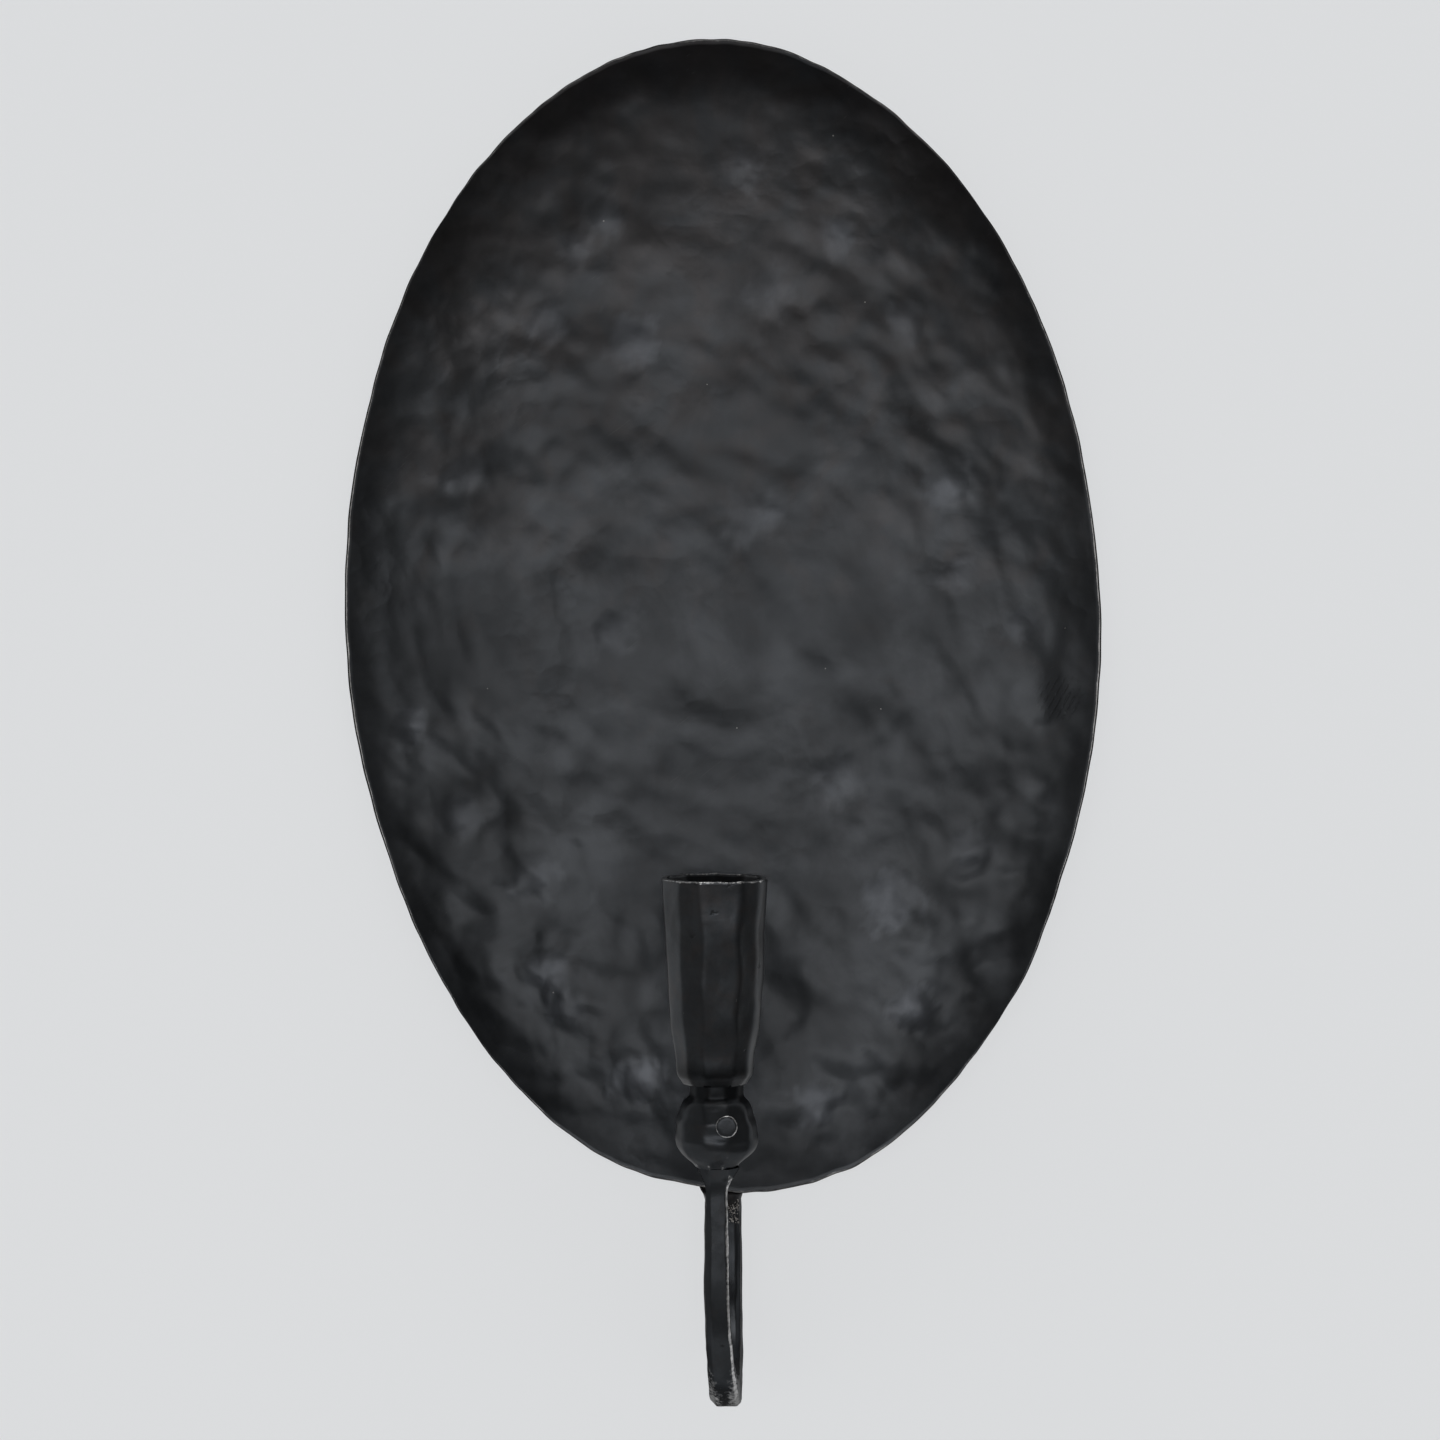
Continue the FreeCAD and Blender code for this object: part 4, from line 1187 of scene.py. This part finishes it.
def make_cup():
    """Hammered outside with its long flats, a thin lip, and the bore and well inside."""
    flats = flats_from_corners(cup_corner_shares)
    around = 176
    top = cup_high.z
    floor = cup_z + cup_floor
    shoulder = top - bore_lead - bore_straight
    mouth = cup_width / 2 - cup_mouth_lip
    well_foot = cup_width / 2 * cup_foot_share - cup_wall
    rings = []

    def add_ring(z, radius, give, wear, round_share, crisp, rubbed=0.0):
        rise = (z - cup_z) / cup_height
        eased = [(angle, mix(distance, 1.0, round_share)) for angle, distance in flats]
        ring = facet_ring(Vector((cup_x, stem_y, z)), radius, eased, rise, crisp, around, give, wear, 0.6)
        near_top = ease(0.88, 1.0, rise)
        for j, (point, _, _) in enumerate(ring):
            angle = 2 * math.pi * j / around
            wave = wander(math.cos(angle) * 2.4, math.sin(angle) * 2.4, 9.7)
            point.z -= lip_wave * near_top * abs(wave)
        if rubbed:
            ring = [(point, moves, max(worn, rubbed)) for point, moves, worn in ring]
        rings.append(ring)

    outside_steps = 90
    for i in range(outside_steps + 1):
        rise = 0.985 * i / outside_steps
        flare = cup_flare * ease(0.72, 1.0, rise)
        radius = profile_at(cup_profile_shares, rise, 0.02) * cup_width / 2 + flare
        give = ease(0.0, 0.05, rise) * mix(1.0, 0.5, ease(0.93, 0.985, rise))
        # The foot, where the cup sits on the ball's neck, is painted dark as shade; higher up the arrises
        # are rubbed
        wear = mix(-0.9, 0.35, ease(0.03, 0.2, rise))
        add_ring(cup_z + rise * cup_height, radius, give, wear, 0.0, 70)
    outer = cup_width / 2 + cup_flare
    for share in (0.25, 0.5, 0.75, 1.0):
        angle = share * math.pi / 2
        add_ring(top - lip_round + lip_round * math.sin(angle), outer - lip_round * (1 - math.cos(angle)),
                 0.35, 1.0, 0.05, 60, lip_rub)
    for share in (0.25, 0.5, 0.75, 1.0):
        angle = share * math.pi / 2
        add_ring(top - lip_round * (1 - math.cos(angle)), mouth + lip_round * (1 - math.sin(angle)),
                 0.35, mix(0.9, 0.2, share), 0.15, 50, mix(lip_rub, 0.42, share))
    # Inside the cup the lead, the bore and the well are painted black as shade
    for i in range(1, 9):
        share = i / 8
        add_ring(mix(top - lip_round, top - bore_lead, share), mix(mouth, bore_radius, share), 0.2, -1.0,
                 mix(0.15, 1.0, share), 40)
    for i in range(1, 13):
        add_ring(mix(top - bore_lead, shoulder, i / 12), bore_radius, 0.05, -1.0, 1.0, 40)
    for i in range(1, 17):
        share = i / 16
        add_ring(mix(shoulder, floor, share), mix(bore_radius - well_ledge, well_foot, share), 0.3, -1.0,
                 0.2, 40)
    piece = add_object("faceted_cup", ring_mesh("faceted_cup", rings))
    run_tree(piece, hammer_tree, Blow_Width=9 * mm, Blow_Depth=0.18 * mm, Crispness=0.5,
             Sway_Width=24 * mm, Sway_Depth=0.12 * mm, Stretch=(1.0, 1.0, 0.6), Seed=21.0,
             Material=materials["cup_iron"])
    crisp_seats(bake_modifiers(piece))
    return finish_piece(piece, "forged_iron", "candle_cup")


# Welds

def level_bead(half_length, z):
    """Ends of a bead that lies level on the plate's back, about its middle."""
    y = plate_back(0, z) + bead_off
    return (-half_length, y, z), (half_length, y, z)


def make_beads(name, beads, *nodes):
    """Weld beads between pairs of points, as one piece."""
    parts = []
    for number, (start, end) in enumerate(beads):
        part = add_object(name + "_bead", new_mesh(name + "_bead", [], []))
        run_tree(part, bead_tree, Start=start, End=end, Radius=bead_radius,
                 Ripple_Width=bead_radius * 1.1, Lump_Depth=bead_radius * 0.16, Seed=float(number + 1),
                 Material=materials["weld_metal"])
        parts.append(bake_modifiers(part))
    return joined_piece(name, parts, "weld_metal", *nodes)


def make_rim_weld():
    """Weld poured into the corner between the plate's lower edge and the leg, drawn down the leg."""
    around, steps = 96, 16
    drop = 5.2 * mm
    flats = [(k * math.pi / 4, distance) for k, distance in enumerate(section_flats(leg_width, leg_depth))]
    rings = []
    for i in range(steps + 1):
        down = i / steps
        ring = []
        for j in range(around):
            angle = 2 * math.pi * j / around
            reach, _, _ = flat_reach(angle, flats, 30)
            side = mix(1.9 * mm, 1.3 * mm, (1 + math.cos(angle)) / 2)
            lumps = 1 + 0.35 * wander(math.cos(angle) * 1.6, math.sin(angle) * 1.6, down * 1.7)
            reach += side * (1 - down) ** 1.7 * lumps - 0.12 * mm * down
            x = reach * math.cos(angle)
            y = leg_y - reach * math.sin(angle)
            lift = 2.4 * mm * ease(-rim_stand + 1.4 * mm, -rim_stand + 4 * mm, y) * (1 - down)
            z = rim_low_z - 0.05 * mm - drop * down * (1 + 0.2 * wander(angle * 1.1, 5.3)) + lift
            ring.append((Vector((x, y, z)), 0.6, -0.6))
        rings.append(ring)
    collar = add_object("rim_collar", ring_mesh("rim_collar", rings))
    run_tree(collar, hammer_tree, Blow_Width=2.6 * mm, Blow_Depth=0.12 * mm, Crispness=0.6,
             Sway_Width=5 * mm, Sway_Depth=0.08 * mm, Seed=17.0, Material=materials["weld_metal"])
    spatter = add_object("rim_spatter", new_mesh("rim_spatter", [], []))
    front = leg_y - leg_depth / 2
    run_tree(spatter, spatter_tree, Low=(1.4 * mm, front - 0.05 * mm, rim_low_z - 9 * mm),
             High=(4.5 * mm, front + 0.12 * mm, rim_low_z - 1 * mm), Drops=110, Drop_Radius=0.22 * mm,
             Seed=5, Material=materials["weld_metal"])
    parts = [bake_modifiers(collar), bake_modifiers(spatter)]
    face_outwards(parts[0].data)
    joined_piece("rim_weld_collar", parts, "weld_metal", "rim_weld")


def make_welds():
    make_rim_weld()
    top = rim_low_z + palm_length * 0.8
    low = top - palm_bead_length
    beads = []
    for side in (-1, 1):
        x = side * palm_width / 2
        low_x = side * mix(palm_width, leg_width, 0.12) / 2
        beads.append(((x, plate_back(x, top) + bead_off, top),
                      (low_x, plate_back(x, low) + bead_off, low)))
    half = palm_tip_width / 2 - 0.7 * mm
    beads.append(level_bead(half, arm_high.z))
    make_beads("palm_weld_beads", beads, "palm_welds")
    half = (hanger_high.x - hanger_low.x) / 2 - 2.6 * mm
    make_beads("hanger_weld_beads", [level_bead(half, hanger_low.z), level_bead(half, hanger_high.z)],
               "hanger_welds")


# Rubber feet

def make_bumpers():
    """Two turned rubber feet with a rounded nose, a waist groove and a shallow cup in the face."""
    height = -bumper_low.y
    around = 56
    parts = []
    for foot_x in foot_places_x:
        rings = []
        for i in range(4 * (len(foot_profile_shares) - 1) + 1):
            share, girth = curve_at(foot_profile_shares, i / 4)
            reach = bumper_radius * girth
            ring = []
            for j in range(around):
                angle = 2 * math.pi * j / around
                point = Vector((foot_x + reach * math.cos(angle), -height * share,
                                foot_z + reach * math.sin(angle)))
                ring.append((point, 0.0, 0.0))
            rings.append(ring)
        parts.append(add_object("rubber_foot", ring_mesh("rubber_foot", rings)))
    return joined_piece("rubber_feet", parts, "bumper_rubber", "wall_bumpers")


# Camera, room and light

def make_camera():
    lens = bpy.data.cameras.new("camera")
    lens.lens = camera_lens
    camera = add_object("camera", lens)
    camera.location = camera_place
    camera.rotation_euler = (math.radians(90 - camera_dip_degrees), 0, 0)
    bpy.context.scene.camera = camera


def make_wall_paint():
    """Pale paint that glows a little for the camera and in the metal, and isn't seen from behind."""
    material = bpy.data.materials.new("wall_paint")
    material.use_nodes = True
    tree = material.node_tree
    shader = tree.nodes["Principled BSDF"]
    shader.inputs["Roughness"].default_value = 0.9
    shader.inputs["Specular IOR Level"].default_value = 0.1
    drift = noise_at(tree, object_place(tree), 0.35)["Fac"]
    paint = blend_colour(tree, drift, (0.802, 0.815, 0.828, 1), (0.818, 0.829, 0.840, 1))
    feed(tree, shader.inputs["Base Color"], paint)
    glow = add_node(tree, "ShaderNodeEmission", Color=paint, Strength=1.0)
    lit = add_node(tree, "ShaderNodeMixShader")
    feed(tree, lit.inputs[0], 0.75)
    tree.links.new(shader.outputs[0], lit.inputs[1])
    tree.links.new(glow.outputs[0], lit.inputs[2])
    path = tree.nodes.new("ShaderNodeLightPath").outputs
    front = calc(tree, "SUBTRACT", 1.0, tree.nodes.new("ShaderNodeNewGeometry").outputs["Backfacing"])
    looking = calc(tree, "MAXIMUM", path["Is Camera Ray"],
                   calc(tree, "MAXIMUM", path["Is Glossy Ray"], path["Is Transmission Ray"]))
    choice = add_node(tree, "ShaderNodeMixShader")
    feed(tree, choice.inputs[0], calc(tree, "MULTIPLY", looking, front))
    tree.links.new(tree.nodes.new("ShaderNodeBsdfTransparent").outputs[0], choice.inputs[1])
    tree.links.new(lit.outputs[0], choice.inputs[2])
    tree.links.new(choice.outputs[0], tree.nodes["Material Output"].inputs["Surface"])
    return material


def make_room():
    """Wall just behind the holder, running down in a cove into a pale floor."""
    wall_y = 0.4 * mm
    wall_top, floor_z = 0.75, -0.95
    half_width, cove, floor_reach = 1.1, 0.25, 0.7
    line = [(wall_y, wall_top)]
    for i in range(13):
        angle = math.pi / 2 * i / 12
        line.append((wall_y - cove * (1 - math.cos(angle)), floor_z + cove * (1 - math.sin(angle))))
    line.append((wall_y - floor_reach, floor_z))
    points = [(x, y, z) for y, z in line for x in (-half_width, half_width)]
    faces = [(2 * i, 2 * i + 1, 2 * i + 3, 2 * i + 2) for i in range(len(line) - 1)]
    mesh = bpy.data.meshes.new("room")
    mesh.from_pydata(points, [], faces)
    mesh.polygons.foreach_set("use_smooth", [True] * len(mesh.polygons))
    mesh.materials.append(make_wall_paint())
    room = add_object("room", mesh)
    if mesh.polygons[0].normal.y > 0:
        mesh.flip_normals()


# Oval softboxes as the plate sees them: azimuth and elevation of the middle, half width and half
# height in degrees, softness as a share of those, and their light
softboxes = (
    (-2.5, 5, 30, 11, 0.2, (1.30, 1.31, 1.33)),
    (-3, 12, 11, 4, 0.4, (1.7, 1.75, 1.85)),
    (-15, 10, 6, 4, 0.5, (3.0, 3.1, 3.25)),
    (14, 11, 6, 4, 0.5, (2.6, 2.7, 2.85)),
    (0, -12, 60, 32, 0.3, (0.17, 0.17, 0.17)),
    (-85, 5, 36, 40, 0.2, (0.22, 0.22, 0.22)),
)
room_light = 0.15
wall_light = 0.65
ceiling_light = 3.2
backdrop_tone = (0.68, 0.70, 0.715, 1)


def make_world():
    """Soft studio light round a dim room; the camera itself sees a plain pale backdrop."""
    world = bpy.data.worlds.new("studio")
    bpy.context.scene.world = world
    world.use_nodes = True
    tree = world.node_tree
    aim = add_node(tree, "ShaderNodeTexCoord").outputs["Generated"]
    axes = add_node(tree, "ShaderNodeSeparateXYZ", Vector=aim).outputs
    azimuth = calc(tree, "ARCTAN2", axes["X"], calc(tree, "MULTIPLY", axes["Y"], -1.0))
    elevation = calc(tree, "ARCSINE", axes["Z"])
    total = (room_light,) * 3
    for middle, height, half_width, half_height, soft, light in softboxes:
        away = 0.0
        for angle, centre, half in ((azimuth, middle, half_width), (elevation, height, half_height)):
            offset = calc(tree, "SUBTRACT", angle, math.radians(centre))
            offset = calc(tree, "DIVIDE", offset, math.radians(half))
            away = calc(tree, "MULTIPLY_ADD", offset, offset, away)
        lit = spread(tree, calc(tree, "SQRT", away), 1 - soft, 1 + soft, 1.0, 0.0)
        total = vector_calc(tree, "ADD", total, vector_calc(tree, "SCALE", light, scale=lit))
    behind = spread(tree, axes["Y"], -0.02, 0.12)
    total = blend_colour(tree, behind, total, (wall_light,) * 3 + (1,))
    high = spread(tree, elevation, math.radians(60), math.radians(72))
    total = vector_calc(tree, "ADD", total, vector_calc(tree, "SCALE", (ceiling_light,) * 3, scale=high))
    seen = add_node(tree, "ShaderNodeLightPath").outputs["Is Camera Ray"]
    total = blend_colour(tree, seen, total, backdrop_tone)
    feed(tree, tree.nodes["Background"].inputs["Color"], total)


make_camera()
make_room()
make_world()
make_plate()
make_arm()
make_ball()
make_pin()
make_cup()
make_welds()
make_bumpers()
softened_copy("hanger_bridge", "keyhole_hanger", "hanger_steel", 0.35 * mm)
softened_copy("cup_screw", "cup_screw_piece", "screw_steel", 0.12 * mm)
bpy.context.scene.view_settings.view_transform = "Standard"
